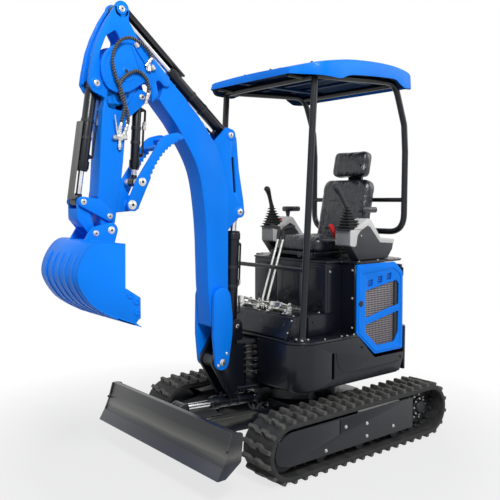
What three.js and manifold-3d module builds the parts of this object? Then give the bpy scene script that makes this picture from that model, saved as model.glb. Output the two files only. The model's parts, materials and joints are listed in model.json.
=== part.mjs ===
// Mini excavator on rubber tracks, with a dozer blade, swing boom, bucket, thumb and canopy.
// Millimetres, +Z up, +X to the front, +Y to the operator's left.
// The slew axis is the machine's own reference line, and the finished model stands at its box centre.
import * as THREE from 'three';
import { mergeVertices } from 'three/addons/utils/BufferGeometryUtils.js';
import Module from 'manifold-3d';

const wasm = await Module();
wasm.setup();

// ---------------------------------------------------------------- driving sizes
const fitGap = 0.3;              // between pieces that touch
const runGap = 5;                // between pieces that move past each other
const pinPlay = 0.5;             // round a pin in its bore
const rodPlay = 0.6;             // round a rod in its barrel

const track = {
  wheelbase: 1200,               // idler axle to sprocket axle
  height: 350,                   // over the lugs
  width: 230,
  gauge: 1010,                   // belt centre to belt centre
  belt: 26,
  lug: 20,
  lugs: 44,
};
const roller = { radius: 36, width: 110, places: [-300, 20, 340] };
const idlerWidth = 90;
const cover = { thick: 6, inset: 26, front: 106, rear: -440 };
const crossTube = { size: 80, spread: 440 };
const ring = { radius: 250, base: 350.3, top: 420 };

const blade = { width: 1240, height: 220, thick: 12, lean: 95, clearance: 150, front: 1095 };
const bladePivot = { x: 500, z: 225 };
const bladeArm = { spread: 320, depth: 90, width: 60 };

const deck = { halfWidth: 480, front: 417, rear: -490, corner: 120, plate: 30, skirtTop: 270, skirtBase: 10 };
const panel = 20;                // thickness of skirt, door and cover walls
const floorThick = 16;
const stepBox = { front: 345, halfWidth: 342, height: 125 };
const seatBase = { front: 75, rear: -430, halfWidth: 335, top: 710 };
const bracket = { halfWidth: 95, nose: 60 };   // the deck's nose, which holds the swing post
const door = { front: -49, rear: -475, top: 707, lowFront: 256, low: 175 };
const weight = { reach: 90, top: 290 };
const engine = { length: 400, width: 440, height: 360, clearance: 60 };

const seat = { x: -120, width: 470, length: 460, thick: 95, tilt: 0.2, back: 440 };
const consoleY = 330;
const canopy = { halfWidth: 567, front: 440, rear: -516, crown: 1880, skin: 8 };
const post = { radius: 20, y: 410, baseX: 315, topX: 246, rearTopX: -478, rearX: -560, height: 1760 };

const swing = { x: 490, hub: 55, pin: 24, low: -20, high: 235 };
const cheek = { inner: 48, thick: 20 };
const boomFoot = { x: 181, z: 157 };          // from the swing axis and the deck's base
const boomRamFoot = { x: 53, z: 350 };

const boomHalf = 62;
const boomTip = { x: 591, z: 1588 };
const boomDepth = { foot: 122, bend: 172, tip: 128 };
const boomStraight = 880;                     // height of the upright lower stretch
const boomHead = { radius: 140, cheek: 12, reach: 235 };
const armRamFoot = { x: -91, z: 1308 };
const boomRamEye = { x: -157, z: 865 };

const armHalf = 55;
const armPlate = 12;
const armRamEye = { x: 7, z: 312 };
const bucketRamFoot = { x: 152, z: -74 };
const armLength = { x: 103, z: -806 };
const rockerPin = { x: 100, z: -736 };
const rodPin = { x: 242, z: -663 };
const thumbRamFoot = { x: -108, z: -118 };
const thumbPivot = { x: -19, z: -679 };
const thumbEye = { x: -60, z: 119 };
const bucketEye = { x: 85, z: -14 };
const bucket = { halfWidth: 215, plate: 10 };
const thumb = { inner: 76, thick: 14 };

const rockerOuter = armHalf + 16;
const pin = { large: 20, small: 14, head: 8 };

// ---------------------------------------------------------------- finishes
const finish = (color, roughness, metalness) => new THREE.MeshStandardMaterial({ color, roughness, metalness });
const blue = finish(0x0a84f5, 0.35, 0.1);
const black = finish(0x1c1d22, 0.35, 0.2);
const charcoal = finish(0x35363c, 0.5, 0.1);
const rubber = finish(0x2e2e2d, 0.9, 0);
const steel = finish(0xb8bbc0, 0.3, 0.9);
const castIron = finish(0x26272b, 0.6, 0.4);
const vinyl = finish(0x24262b, 0.45, 0);

// ---------------------------------------------------------------- solids
function solid(geometry) {
  const bare = geometry.clone();
  bare.deleteAttribute('normal');
  bare.deleteAttribute('uv');
  const merged = mergeVertices(bare, 1e-3);
  return new wasm.Manifold(new wasm.Mesh({
    numProp: 3,
    vertProperties: new Float32Array(merged.attributes.position.array),
    triVerts: new Uint32Array(merged.index.array),
  }));
}

const join = (...solids) => solids.reduce((whole, next) => whole.add(next));
const cut = (base, ...tools) => tools.reduce((whole, next) => whole.subtract(next), base);

function geometryOf(body) {
  const mesh = body.getMesh();
  const geometry = new THREE.BufferGeometry();
  geometry.setAttribute('position', new THREE.BufferAttribute(new Float32Array(mesh.vertProperties), 3));
  geometry.setIndex(new THREE.BufferAttribute(new Uint32Array(mesh.triVerts), 1));
  geometry.computeVertexNormals();
  return geometry;
}

function box(x0, x1, y0, y1, z0, z1) {
  const geometry = new THREE.BoxGeometry(x1 - x0, y1 - y0, z1 - z0);
  return solid(geometry.translate((x0 + x1) / 2, (y0 + y1) / 2, (z0 + z1) / 2));
}

// A round bar between two points.
function bar(a, b, radius, sides = 10, endRadius = radius) {
  const from = new THREE.Vector3(...a);
  const way = new THREE.Vector3(...b).sub(from);
  const geometry = new THREE.CylinderGeometry(endRadius, radius, way.length(), sides);
  geometry.translate(0, way.length() / 2, 0);
  geometry.applyQuaternion(new THREE.Quaternion().setFromUnitVectors(
    new THREE.Vector3(0, 1, 0), way.clone().normalize()));
  return solid(geometry.translate(from.x, from.y, from.z));
}

const crossBar = (x, z, y0, y1, radius, sides = 10) => bar([x, y0, z], [x, y1, z], radius, sides);

// A bore that clears a pin of the given radius at any turn.
const bore = (x, z, y0, y1, radius, sides = 16) => (
  crossBar(x, z, y0, y1, (radius + pinPlay) / Math.cos(Math.PI / sides), sides));

// A plate lying in the XZ plane, between two Y values.
function plate(shape, y0, y1, curveSegments = 6) {
  const geometry = new THREE.ExtrudeGeometry(shape, { depth: y1 - y0, bevelEnabled: false, curveSegments });
  return solid(geometry.rotateX(Math.PI / 2).translate(0, y1, 0));
}

// The same plate on both sides of the centre plane.
const platePair = (shape, y0, y1, curveSegments) => join(
  plate(shape, y0, y1, curveSegments), plate(shape, -y1, -y0, curveSegments));

// A slab lying flat, between two heights.
function slab(shape, z0, z1, curveSegments = 8) {
  const geometry = new THREE.ExtrudeGeometry(shape, { depth: z1 - z0, bevelEnabled: false, curveSegments });
  return solid(geometry.translate(0, 0, z0));
}

// A tube bent along a curve.
function bentTube(curve, radius, steps, sides = 8) {
  const section = new THREE.Shape();
  section.absarc(0, 0, radius, 0, Math.PI * 2);
  const geometry = new THREE.ExtrudeGeometry(section, { extrudePath: curve, steps, curveSegments: sides / 2 });
  return solid(geometry);
}

function shapeOf(points) {
  return new THREE.Shape(points.map(([x, z]) => new THREE.Vector2(x, z)));
}

function disc(x, z, radius) {
  const shape = new THREE.Shape();
  shape.absarc(x, z, radius, 0, Math.PI * 2);
  return shape;
}

// The outline that a band makes when it is pulled tight round several discs.
function band(discs, arcSteps = 14) {
  const points = discs.flatMap(([x, z, radius]) => Array.from({ length: arcSteps }, (_, i) => {
    const angle = i * Math.PI * 2 / arcSteps;
    return [x + radius * Math.cos(angle), z + radius * Math.sin(angle)];
  }));
  points.sort((a, b) => a[0] - b[0] || a[1] - b[1]);
  const turn = (o, a, b) => (a[0] - o[0]) * (b[1] - o[1]) - (a[1] - o[1]) * (b[0] - o[0]);
  const chain = (list) => {
    const hull = [];
    for (const p of list) {
      while (hull.length > 1 && turn(hull[hull.length - 2], hull[hull.length - 1], p) <= 1e-6) hull.pop();
      hull.push(p);
    }
    hull.pop();
    return hull;
  };
  return shapeOf([...chain(points), ...chain(points.reverse())]);
}

function piece(name, body, material, parent) {
  const mesh = new THREE.Mesh(geometryOf(body), material);
  mesh.name = name;
  parent.add(mesh);
  return mesh;
}

function frameAt(name, parent, x = 0, y = 0, z = 0) {
  const group = new THREE.Group();
  group.name = name;
  group.position.set(x, y, z);
  parent.add(group);
  return group;
}

// ---------------------------------------------------------------- hydraulic cylinders
// The barrel turns on its foot pin and the rod slides in it towards its eye; both lie along local +X.
function cylinder(name, parent, foot, eye, size, dress = {}) {
  const span = Math.hypot(eye.x - foot.x, eye.z - foot.z);
  const barrelFrame = frameAt(`${name}_foot`, parent, foot.x, 0, foot.z);
  barrelFrame.rotation.y = -Math.atan2(eye.z - foot.z, eye.x - foot.x);
  const rodFrame = frameAt(`${name}_eye`, barrelFrame, span);

  let barrel = join(
    crossBar(0, 0, -size.eyeHalf, size.eyeHalf, size.eye),
    bar([size.eye * 0.6, 0, 0], [size.length, 0, 0], size.radius, 14),
    bar([size.length - 45, 0, 0], [size.length, 0, 0], size.radius + 5, 14));
  barrel = cut(barrel,
    bore(0, 0, -size.eyeHalf - 1, size.eyeHalf + 1, size.footPin),
    bar([size.eye + 12, 0, 0], [size.length + 1, 0, 0], size.rod + rodPlay, 10));
  if (dress.barrel) barrel = dress.barrel(barrel);

  const eyeHalf = size.rodEyeHalf ?? size.eyeHalf;
  let rod = join(
    crossBar(0, 0, -eyeHalf, eyeHalf, size.eye),
    bar([-size.reach, 0, 0], [-size.eye * 0.5, 0, 0], size.rod, 10));
  if (dress.rod) rod = dress.rod(rod);

  piece(`${name}_barrel`, barrel, black, barrelFrame);
  piece(`${name}_rod`, rod, dress.rodFinish ?? steel, rodFrame);
  return span;
}

// A pin through two plates, with its heads outside them.
const headedPin = (at, halfSpan, radius) => join(
  crossBar(at.x, at.z, -halfSpan - pin.head, halfSpan + pin.head, radius),
  crossBar(at.x, at.z, -halfSpan - pin.head, -halfSpan, radius + 6),
  crossBar(at.x, at.z, halfSpan, halfSpan + pin.head, radius + 6));

// The two ends of a pin that stops at the plates, where a drifting eye lies between them.
const pinEnds = (at, inside, outside, radius) => join(
  crossBar(at.x, at.z, -outside - pin.head, -inside, radius),
  crossBar(at.x, at.z, inside, outside + pin.head, radius));

// ================================================================ the machine
const machine = new THREE.Group();
machine.name = 'mini_excavator';

// ---------------------------------------------------------------- undercarriage
const undercarriage = frameAt('undercarriage', machine);
const axleZ = track.height / 2;
const halfBase = track.wheelbase / 2;
const beltOuter = axleZ - track.lug;
const beltInner = beltOuter - track.belt;

// Points at a spacing round the loop of a belt, at a radius from its axles.
function loopPoint(radius, along) {
  const straight = track.wheelbase;
  const bend = Math.PI * radius;
  let s = along % (2 * (straight + bend));
  if (s < straight) return [-halfBase + s, axleZ + radius, 0, 1];
  s -= straight;
  if (s < bend) {
    const angle = Math.PI / 2 - s / radius;
    return [halfBase + radius * Math.cos(angle), axleZ + radius * Math.sin(angle), Math.cos(angle), Math.sin(angle)];
  }
  s -= bend;
  if (s < straight) return [halfBase - s, axleZ - radius, 0, -1];
  s -= straight;
  const angle = -Math.PI / 2 - s / radius;
  return [-halfBase + radius * Math.cos(angle), axleZ + radius * Math.sin(angle), Math.cos(angle), Math.sin(angle)];
}

function trackBelt() {
  const length = 2 * (track.wheelbase + Math.PI * beltOuter);
  const pitch = length / track.lugs;
  const outline = [];
  const stepsOfLug = [[0, 0], [0.1, track.lug], [0.38, track.lug], [0.5, 0]];
  for (let i = 0; i < track.lugs; i += 1) {
    for (const [share, rise] of stepsOfLug) {
      const [x, z, nx, nz] = loopPoint(beltOuter, (i + share) * pitch);
      outline.push([x + nx * rise, z + nz * rise]);
    }
  }
  const shape = shapeOf(outline.reverse());
  const hole = new THREE.Path();
  hole.absarc(halfBase, axleZ, beltInner, -Math.PI / 2, Math.PI / 2);
  hole.absarc(-halfBase, axleZ, beltInner, Math.PI / 2, Math.PI * 1.5);
  shape.holes.push(hole);
  return plate(shape, -track.width / 2, track.width / 2, 10);
}

function sprocketWheel() {
  const teeth = 15;
  const tip = beltInner - 5;
  const root = tip - 22;
  const outline = [];
  for (let i = 0; i < teeth; i += 1) {
    for (const [share, radius] of [[0.25, root], [0.42, tip], [0.63, tip], [0.8, root]]) {
      const angle = (i + share) * Math.PI * 2 / teeth;
      outline.push([radius * Math.cos(angle), radius * Math.sin(angle)]);
    }
  }
  return join(
    plate(shapeOf(outline), -10, 10),
    bar([0, -track.width / 2 + 62 + fitGap, 0], [0, 52, 0], 76, 20),
    bar([0, 50, 0], [0, 70, 0], 62, 20, 50));
}

function idlerWheel() {
  const half = idlerWidth / 2;
  const rim = beltInner - 3;
  const profile = [[0, -half - 12], [42, -half - 12], [42, -half + 14], [rim - 26, -half + 14], [rim, -half + 4],
    [rim, half - 4], [rim - 26, half - 14], [42, half - 14], [42, half + 12], [0, half + 12]];
  const points = profile.map(([radius, along]) => new THREE.Vector2(radius, along));
  return solid(new THREE.LatheGeometry(points, 18));
}

// The beam, its idler fork, drive bracket, rollers and outer cover, all welded or bolted into one.
function trackFrame(side) {
  const half = track.width / 2;
  const beamHalf = 62;
  const forkInner = idlerWidth / 2 + 12 + fitGap;
  const coverOuter = half - cover.inset;
  const rollerZ = axleZ - beltInner + roller.radius + fitGap;
  const coverRadius = cover.front;
  let frame = box(-420, 440, -beamHalf, beamHalf, axleZ - 58, axleZ + 72);
  const fork = band([[420, axleZ, 55], [halfBase + 20, axleZ, 34]]);
  frame = join(frame, platePair(fork, forkInner, forkInner + 12));
  const driveArm = band([[-400, axleZ, 62], [-halfBase, axleZ, 80]]);
  frame = frame.add(plate(driveArm, ...(side > 0 ? [-half + 50, -half + 62] : [half - 62, half - 50])));
  for (const x of roller.places) {
    frame = join(frame,
      crossBar(x, rollerZ, -roller.width / 2, roller.width / 2, roller.radius, 14),
      box(x - 26, x + 26, -beamHalf, beamHalf, rollerZ, axleZ));
  }
  frame = join(frame,
    crossBar(40, axleZ + beltInner - 28 - fitGap, -45, 45, 28, 12),
    box(20, 60, -16, 16, axleZ, axleZ + beltInner - 34));
  const low = axleZ - 82;
  const face = new THREE.Shape();
  face.moveTo(cover.rear, low);
  face.lineTo(halfBase - 10, low);
  face.quadraticCurveTo(halfBase + coverRadius * 0.9, axleZ - 60, halfBase + coverRadius, axleZ - 5);
  face.quadraticCurveTo(halfBase + coverRadius * 0.9, axleZ + coverRadius, halfBase - 20, axleZ + coverRadius);
  face.lineTo(cover.rear, axleZ + coverRadius);
  face.closePath();
  const y0 = coverOuter - cover.thick;
  frame = frame.add(plate(face, ...(side > 0 ? [y0, coverOuter] : [-coverOuter, -y0])));
  for (const x of [-380, 20, 400]) {
    frame = frame.add(side > 0 ? box(x - 15, x + 15, beamHalf - 2, y0 + 1, axleZ - 30, axleZ + 40)
      : box(x - 15, x + 15, -y0 - 1, -beamHalf + 2, axleZ - 30, axleZ + 40));
  }
  return frame;
}

function idlerAxle() {
  const reach = idlerWidth / 2 + 12;
  return crossBar(0, 0, -reach, reach, 22, 10);
}

for (const [label, side] of [['left', 1], ['right', -1]]) {
  const lane = frameAt(`${label}_track_lane`, undercarriage, 0, side * track.gauge / 2);
  piece(`${label}_track`, trackBelt(), rubber, lane);
  piece(`${label}_track_frame`, trackFrame(side), black, lane);
  const drive = frameAt(`${label}_drive`, lane, -halfBase, 0, axleZ);
  const wheel = piece(`${label}_sprocket`, sprocketWheel(), castIron, drive);
  if (side < 0) wheel.rotation.z = Math.PI;
  piece(`${label}_idler`, join(idlerWheel(), idlerAxle()), castIron, frameAt(`${label}_idler_axle`, lane, halfBase, 0, axleZ));
}

function centreFrame() {
  const tubeReach = track.gauge / 2 - 62 - fitGap;
  const half = crossTube.size / 2;
  let frame = join(
    box(-300, 300, -270, 270, axleZ - 45, axleZ + 120),
    slab(disc(0, 0, ring.radius + 30), axleZ + 110, ring.base - fitGap, 16));
  for (const x of [-crossTube.spread / 2, crossTube.spread / 2]) {
    frame = frame.add(box(x - half, x + half, -tubeReach, tubeReach, axleZ - half, axleZ + half));
  }
  const earInner = bladeArm.spread / 2 - bladeArm.width / 2;
  const ear = band([[260, axleZ + 10, 60], [bladePivot.x, bladePivot.z, 42]]);
  frame = join(frame,
    platePair(ear, earInner - 16 - fitGap, earInner - fitGap),
    platePair(ear, earInner + bladeArm.width + fitGap, earInner + bladeArm.width + 16 + fitGap));
  const ramEar = band([[260, axleZ + 60, 40], [360, 300, 30]]);
  frame = join(frame,
    platePair(ramEar, 40, 56),
    headedPin({ x: 360, z: 300 }, 56, pin.large));
  for (const s of [-1, 1]) {
    const y = s * bladeArm.spread / 2;
    const reach = bladeArm.width / 2 + 16 + pin.head;
    frame = frame.add(crossBar(bladePivot.x, bladePivot.z, y - reach, y + reach, pin.large));
  }
  return frame;
}
piece('centre_frame', centreFrame(), black, undercarriage);
piece('slew_ring', slab(disc(0, 0, ring.radius), ring.base, ring.top, 18), castIron, undercarriage);

// ---------------------------------------------------------------- dozer blade
const bladeFrame = frameAt('blade_pivot', undercarriage, bladePivot.x, 0, bladePivot.z);
function bladeBody() {
  const foot = { x: blade.front - bladePivot.x, z: blade.clearance - bladePivot.z };
  const top = { x: foot.x - blade.lean, z: foot.z + blade.height - 8 };
  const half = blade.width / 2;
  const face = new THREE.Shape();
  face.moveTo(foot.x, foot.z);
  face.quadraticCurveTo((foot.x + top.x) / 2 - 26, (foot.z + top.z) / 2 - 12, top.x, top.z);
  face.lineTo(top.x - 8, top.z + 8);
  face.lineTo(top.x - 34, top.z + 8);
  face.lineTo(top.x - 34, top.z - 4);
  face.lineTo(top.x - 14, top.z - 6);
  face.quadraticCurveTo((foot.x + top.x) / 2 - 40, (foot.z + top.z) / 2 - 16, foot.x - 16, foot.z);
  face.closePath();
  const wing = shapeOf([[foot.x - 2, foot.z], [top.x - 2, top.z], [top.x - 70, top.z - 12], [top.x - 52, foot.z + 66],
    [foot.x - 50, foot.z]]);
  let body = join(
    plate(face, -half, half, 6),
    plate(wing, half - blade.thick, half),
    plate(wing, -half, -half + blade.thick));
  const armLine = band([[0, 0, bladeArm.depth / 2], [top.x - 30, foot.z + 90, bladeArm.depth / 2]]);
  for (const s of [-1, 1]) {
    const y = s * bladeArm.spread / 2;
    body = body.add(plate(armLine, y - bladeArm.width / 2, y + bladeArm.width / 2));
    body = body.subtract(bore(0, 0, y - 50, y + 50, pin.large));
  }
  body = body.add(box(top.x - 60, top.x + 10, -bladeArm.spread / 2, bladeArm.spread / 2, foot.z + 60, foot.z + 120));
  const eye = band([[top.x - 100, top.z - 30, 30], [top.x - 30, top.z - 70, 40]]);
  return join(body, platePair(eye, 36, 50), pinEnds({ x: top.x - 100, z: top.z - 30 }, 36, 50, pin.small));
}
piece('blade', bladeBody(), black, bladeFrame);

const bladeTop = { x: blade.front - blade.lean, z: blade.clearance + blade.height - 8 };
cylinder('blade_cylinder', undercarriage, { x: 360, z: 300 }, { x: bladeTop.x - 100, z: bladeTop.z - 30 }, {
  radius: 34, length: 330, eye: 30, eyeHalf: 38, rodEyeHalf: 34, footPin: pin.large, rod: 17, reach: 380,
});

// ---------------------------------------------------------------- upper structure
const upper = frameAt('slew_axis', machine, 0, 0, ring.top + fitGap);

function deckOutline(inset, front = deck.front, rear = deck.rear) {
  const w = deck.halfWidth - inset;
  const f = front - inset;
  const r = rear + inset;
  const c = deck.corner - inset;
  const shape = new THREE.Shape();
  shape.moveTo(r, -w);
  shape.lineTo(f - c, -w);
  shape.quadraticCurveTo(f, -w, f, -w + c);
  shape.lineTo(f, w - c);
  shape.quadraticCurveTo(f, w, f - c, w);
  shape.lineTo(r, w);
  shape.closePath();
  return shape;
}

function deckFrame() {
  let frame = slab(deckOutline(panel + 1), 0, deck.plate);
  const nose = (z0, z1) => slab(band([[300, 0, bracket.halfWidth], [swing.x, 0, bracket.nose]]), z0, z1);
  frame = join(frame, nose(swing.low - 26, swing.low - 1), nose(swing.high + 1, swing.high + 24));
  frame = frame.add(box(150, 395, -bracket.halfWidth, bracket.halfWidth, swing.low - 26, swing.high + 24));
  return cut(frame,
    bar([swing.x, 0, swing.low - 30], [swing.x, 0, swing.high + 30], swing.pin + pinPlay, 16),
    slab(disc(0, 0, ring.radius + runGap), swing.low - 40, -fitGap, 12));
}
piece('deck_frame', deckFrame(), black, upper);

const sideBox = (side, x0, x1, a, b, z0, z1) => box(x0, x1, Math.min(side * a, side * b), Math.max(side * a, side * b), z0, z1);
piece('left_skirt', skirtFor(1), black, upper);
piece('right_skirt', skirtFor(-1), black, upper);

function skirtFor(side) {
  const inner = deckOutline(panel);
  let wall = cut(slab(deckOutline(0), deck.skirtBase, deck.skirtTop), slab(inner, 0, deck.skirtTop + 1));
  wall = cut(wall, sideBox(side, deck.rear - 1, deck.front + 1, -600, bracket.halfWidth + 12, 0, deck.skirtTop + 1));
  const step = shapeOf([[door.front, deck.skirtTop + 1], [door.front, door.lowFront], [door.front - 110, door.low],
    [deck.rear - 1, door.low], [deck.rear - 1, deck.skirtTop + 1]]);
  return cut(wall, plate(step, -600, 600));
}

const floorZ = deck.skirtTop + fitGap;
function floorPlate() {
  const whole = slab(deckOutline(2), floorZ, floorZ + floorThick);
  return cut(whole, box(deck.rear - 1, seatBase.front, -600, 600, floorZ - 1, floorZ + floorThick + 1));
}
piece('floor_plate', floorPlate(), black, upper);

const stepTop = floorZ + floorThick + fitGap + stepBox.height;
function footBox() {
  const z0 = floorZ + floorThick + fitGap;
  const w = stepBox.halfWidth;
  const body = box(seatBase.front + fitGap, stepBox.front, -w, w, z0, stepTop);
  const hollow = box(seatBase.front + 20, stepBox.front - 12, -w + 12, w - 12, z0 - 1, stepTop - 12);
  const hole = crossBar(stepBox.front - 38, z0 + 62, w - 20, w + 1, 25, 20);
  return cut(body, hollow, hole);
}
piece('foot_box', footBox(), black, upper);

function seatPedestal() {
  const z0 = deck.plate + fitGap;
  const w = seatBase.halfWidth;
  const body = box(seatBase.rear, seatBase.front, -w, w, z0, seatBase.top);
  const hollow = box(seatBase.rear - 1, seatBase.front - panel, -w + panel, w - panel, z0 - 1, seatBase.top - panel);
  return cut(body, hollow);
}
piece('engine_cover', seatPedestal(), black, upper);

// The engine is one block, standing on the four feet that its rubber mounts would fill.
function engineBlock() {
  const base = deck.plate + fitGap;
  const x0 = seatBase.rear + 20;
  const halfWidth = engine.width / 2;
  let body = box(x0, x0 + engine.length, -halfWidth, halfWidth, base + engine.clearance, base + engine.clearance + engine.height);
  for (const x of [x0 + 50, x0 + engine.length - 50]) {
    for (const y of [-halfWidth + 50, halfWidth - 50]) {
      body = body.add(box(x - 30, x + 30, y - 30, y + 30, base, base + engine.clearance + 1));
    }
  }
  return body;
}
piece('engine', engineBlock(), castIron, upper);

function sideDoorBody(side) {
  const face = new THREE.Shape();
  face.moveTo(door.front, door.top);
  face.lineTo(door.rear + 80, door.top);
  face.quadraticCurveTo(door.rear + 15, door.top, door.rear, door.top - 110);
  face.lineTo(door.rear - 8, door.low + fitGap + 5);
  face.lineTo(door.front - 112, door.low + fitGap + 5);
  face.lineTo(door.front, door.lowFront + 6);
  face.closePath();
  const windows = [
    [[-118, 560], [-380, 560], [-398, 520], [-118, 440]],
    [[-118, 405], [-396, 470], [-404, 390], [-118, 320]],
    [[-130, 285], [-404, 340], [-400, 240], [-190, 240]],
  ];
  for (const window of windows) {
    face.holes.push(new THREE.Path(window.map(([x, z]) => new THREE.Vector2(x, z))));
  }
  const y1 = deck.halfWidth;
  const body = plate(face, y1 - panel, y1);
  return side > 0 ? body : body.mirror([0, 1, 0]);
}
const leftDoorHinge = frameAt('left_door_hinge', upper, door.rear, deck.halfWidth - panel / 2, 0);
const leftDoor = piece('left_door', sideDoorBody(1), blue, leftDoorHinge);
leftDoor.position.set(-door.rear, -(deck.halfWidth - panel / 2), 0);
piece('right_cover', sideDoorBody(-1), blue, upper);

const tailFront = deck.rear - fitGap;
const tailRear = deck.rear - weight.reach;
const hoodPin = { x: deck.rear - 30, y: -deck.halfWidth + 55, radius: 8, height: 50 };

// The tail's outline from above: flat in front, bowed behind.
function tailOutline(front, halfWidth, rear) {
  const shape = new THREE.Shape();
  shape.moveTo(front, -halfWidth);
  shape.lineTo(front, halfWidth);
  shape.lineTo(front - 12, halfWidth);
  shape.quadraticCurveTo(rear, halfWidth * 0.93, rear, halfWidth * 0.45);
  shape.lineTo(rear, -halfWidth * 0.45);
  shape.quadraticCurveTo(rear, -halfWidth * 0.93, front - 12, -halfWidth);
  shape.closePath();
  return shape;
}

function counterweight() {
  const body = slab(tailOutline(tailFront, deck.halfWidth, tailRear), deck.skirtBase, weight.top);
  return body.add(bar([hoodPin.x, hoodPin.y, weight.top - 5],
    [hoodPin.x, hoodPin.y, weight.top + hoodPin.height], hoodPin.radius));
}
piece('counterweight', counterweight(), black, upper);

const hoodHinge = frameAt('hood_hinge', upper, hoodPin.x, hoodPin.y, 0);
function rearHood() {
  const halfWidth = deck.halfWidth - panel - 6;
  const body = slab(tailOutline(tailFront - 12, halfWidth, tailRear + 10), weight.top + runGap, seatBase.top - 30);
  const socket = (hoodPin.radius + pinPlay) / Math.cos(Math.PI / 16);
  return cut(body, bar([hoodPin.x, hoodPin.y, weight.top], [hoodPin.x, hoodPin.y, weight.top + hoodPin.height + runGap], socket, 16));
}
const hood = piece('rear_hood', rearHood(), black, hoodHinge);
hood.position.set(-hoodPin.x, -hoodPin.y, 0);

function topDeck() {
  const w = deck.halfWidth - 4;
  const z0 = seatBase.top + fitGap;
  const shape = new THREE.Shape();
  shape.moveTo(seatBase.front, -w + 60);
  shape.lineTo(seatBase.front, w - 60);
  shape.lineTo(door.front, w);
  shape.lineTo(door.rear + 90, w);
  shape.quadraticCurveTo(deck.rear - 60, w * 0.9, deck.rear - 70, 0);
  shape.quadraticCurveTo(deck.rear - 60, -w * 0.9, door.rear + 90, -w);
  shape.lineTo(door.front, -w);
  shape.closePath();
  return slab(shape, z0, z0 + 12);
}
piece('seat_deck', topDeck(), black, upper);
const seatDeckTop = seatBase.top + fitGap + 12;

// ---------------------------------------------------------------- seat
function seatMount() {
  return join(
    box(-330, 60, -190, -150, seatDeckTop + fitGap, seatDeckTop + 45),
    box(-330, 60, 150, 190, seatDeckTop + fitGap, seatDeckTop + 45),
    box(-300, 30, -190, 190, seatDeckTop + 20, seatDeckTop + 45),
    box(-462, -290, -60, 60, seatDeckTop + 20, seatDeckTop + 45));
}
piece('seat_mount', seatMount(), black, upper);

const cushionZ = seatDeckTop + 45 + fitGap;
function roundedBox(length, width, thick, corner) {
  const shape = new THREE.Shape();
  const x = length / 2;
  const y = width / 2;
  shape.moveTo(-x + corner, -y);
  shape.lineTo(x - corner, -y);
  shape.quadraticCurveTo(x, -y, x, -y + corner);
  shape.lineTo(x, y - corner);
  shape.quadraticCurveTo(x, y, x - corner, y);
  shape.lineTo(-x + corner, y);
  shape.quadraticCurveTo(-x, y, -x, y - corner);
  shape.lineTo(-x, -y + corner);
  shape.quadraticCurveTo(-x, -y, -x + corner, -y);
  return slab(shape, 0, thick, 4);
}
const cushion = piece('seat_cushion', roundedBox(seat.length, seat.width, seat.thick, 60), vinyl, upper);
cushion.position.set(seat.x, 0, cushionZ);

const backFrame = frameAt('seat_back_frame', upper, seat.x - seat.length / 2 - 52, 0, cushionZ + 20);
backFrame.rotation.y = -seat.tilt;
const backrest = piece('seat_back', roundedBox(seat.back, 420, 90, 70), vinyl, backFrame);
backrest.rotation.y = -Math.PI / 2;
backrest.position.set(45, 0, seat.back / 2);
const headrest = piece('headrest', roundedBox(180, 300, 95, 50), vinyl, backFrame);
headrest.rotation.y = -Math.PI / 2;
headrest.position.set(50, 0, seat.back + 12 + 90);

// The back's carrier runs down behind the cushion onto the seat mount.
function seatStay() {
  const behind = (depth, height) => [
    backFrame.position.x - depth * Math.cos(seat.tilt) - height * Math.sin(seat.tilt),
    backFrame.position.z - depth * Math.sin(seat.tilt) + height * Math.cos(seat.tilt)];
  const near = 45 + fitGap;
  const far = near + 22;
  return plate(shapeOf([[-448, cushionZ], behind(near, -6), behind(near, 520), behind(far, 520), behind(far, 0),
    [-462, cushionZ]]), -60, 60);
}
piece('seat_stay', seatStay(), black, upper);

// ---------------------------------------------------------------- consoles and levers
function consoleBody() {
  const face = new THREE.Shape();
  face.moveTo(-10, 275);
  face.lineTo(-10, 75);
  face.lineTo(-60, 0);
  face.lineTo(-420, 0);
  face.lineTo(-470, 60);
  face.lineTo(-480, 165);
  face.lineTo(-330, 185);
  face.lineTo(-250, 295);
  face.lineTo(-210, 305);
  face.lineTo(-112, 275);
  face.closePath();
  return join(
    plate(face, -58, 58),
    box(-320, -120, -26, 26, 318, 345),
    box(-240, -200, -14, 14, 290, 320));
}
function joystick() {
  return join(
    bar([0, 0, 0], [10, 0, 95], 46, 10, 26),
    bar([10, 0, 90], [22, 0, 200], 13, 8, 17),
    bar([22, 0, 200], [48, 0, 268], 17, 8, 22));
}
for (const [label, side] of [['left', 1], ['right', -1]]) {
  const stand = frameAt(`${label}_console_frame`, upper, 20, side * consoleY, seatDeckTop);
  const body = piece(`${label}_console`, consoleBody(), charcoal, stand);
  body.position.z = fitGap;
  const stick = piece(`${label}_joystick`, joystick(), vinyl, stand);
  stick.position.set(-62, 0, 280 + 2 * fitGap);
}

function travelLevers() {
  const z0 = stepTop + fitGap;
  const levers = [-45, 45].map((y) => join(
    bar([292, y, z0 + 20], [235, y, z0 + 420], 8, 8),
    bar([235, y, z0 + 400], [222, y, z0 + 480], 14, 8),
    box(240, 330, y - 38, y + 38, z0 + 30, z0 + 40),
    box(280, 304, y - 12, y + 12, z0 + 4, z0 + 42)));
  return join(...levers, bar([292, -110, z0 + 16], [292, 110, z0 + 16], 10, 8),
    box(270, 314, -120, -100, z0, z0 + 30), box(270, 314, 100, 120, z0, z0 + 30));
}
piece('travel_levers', travelLevers(), steel, upper);

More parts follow.
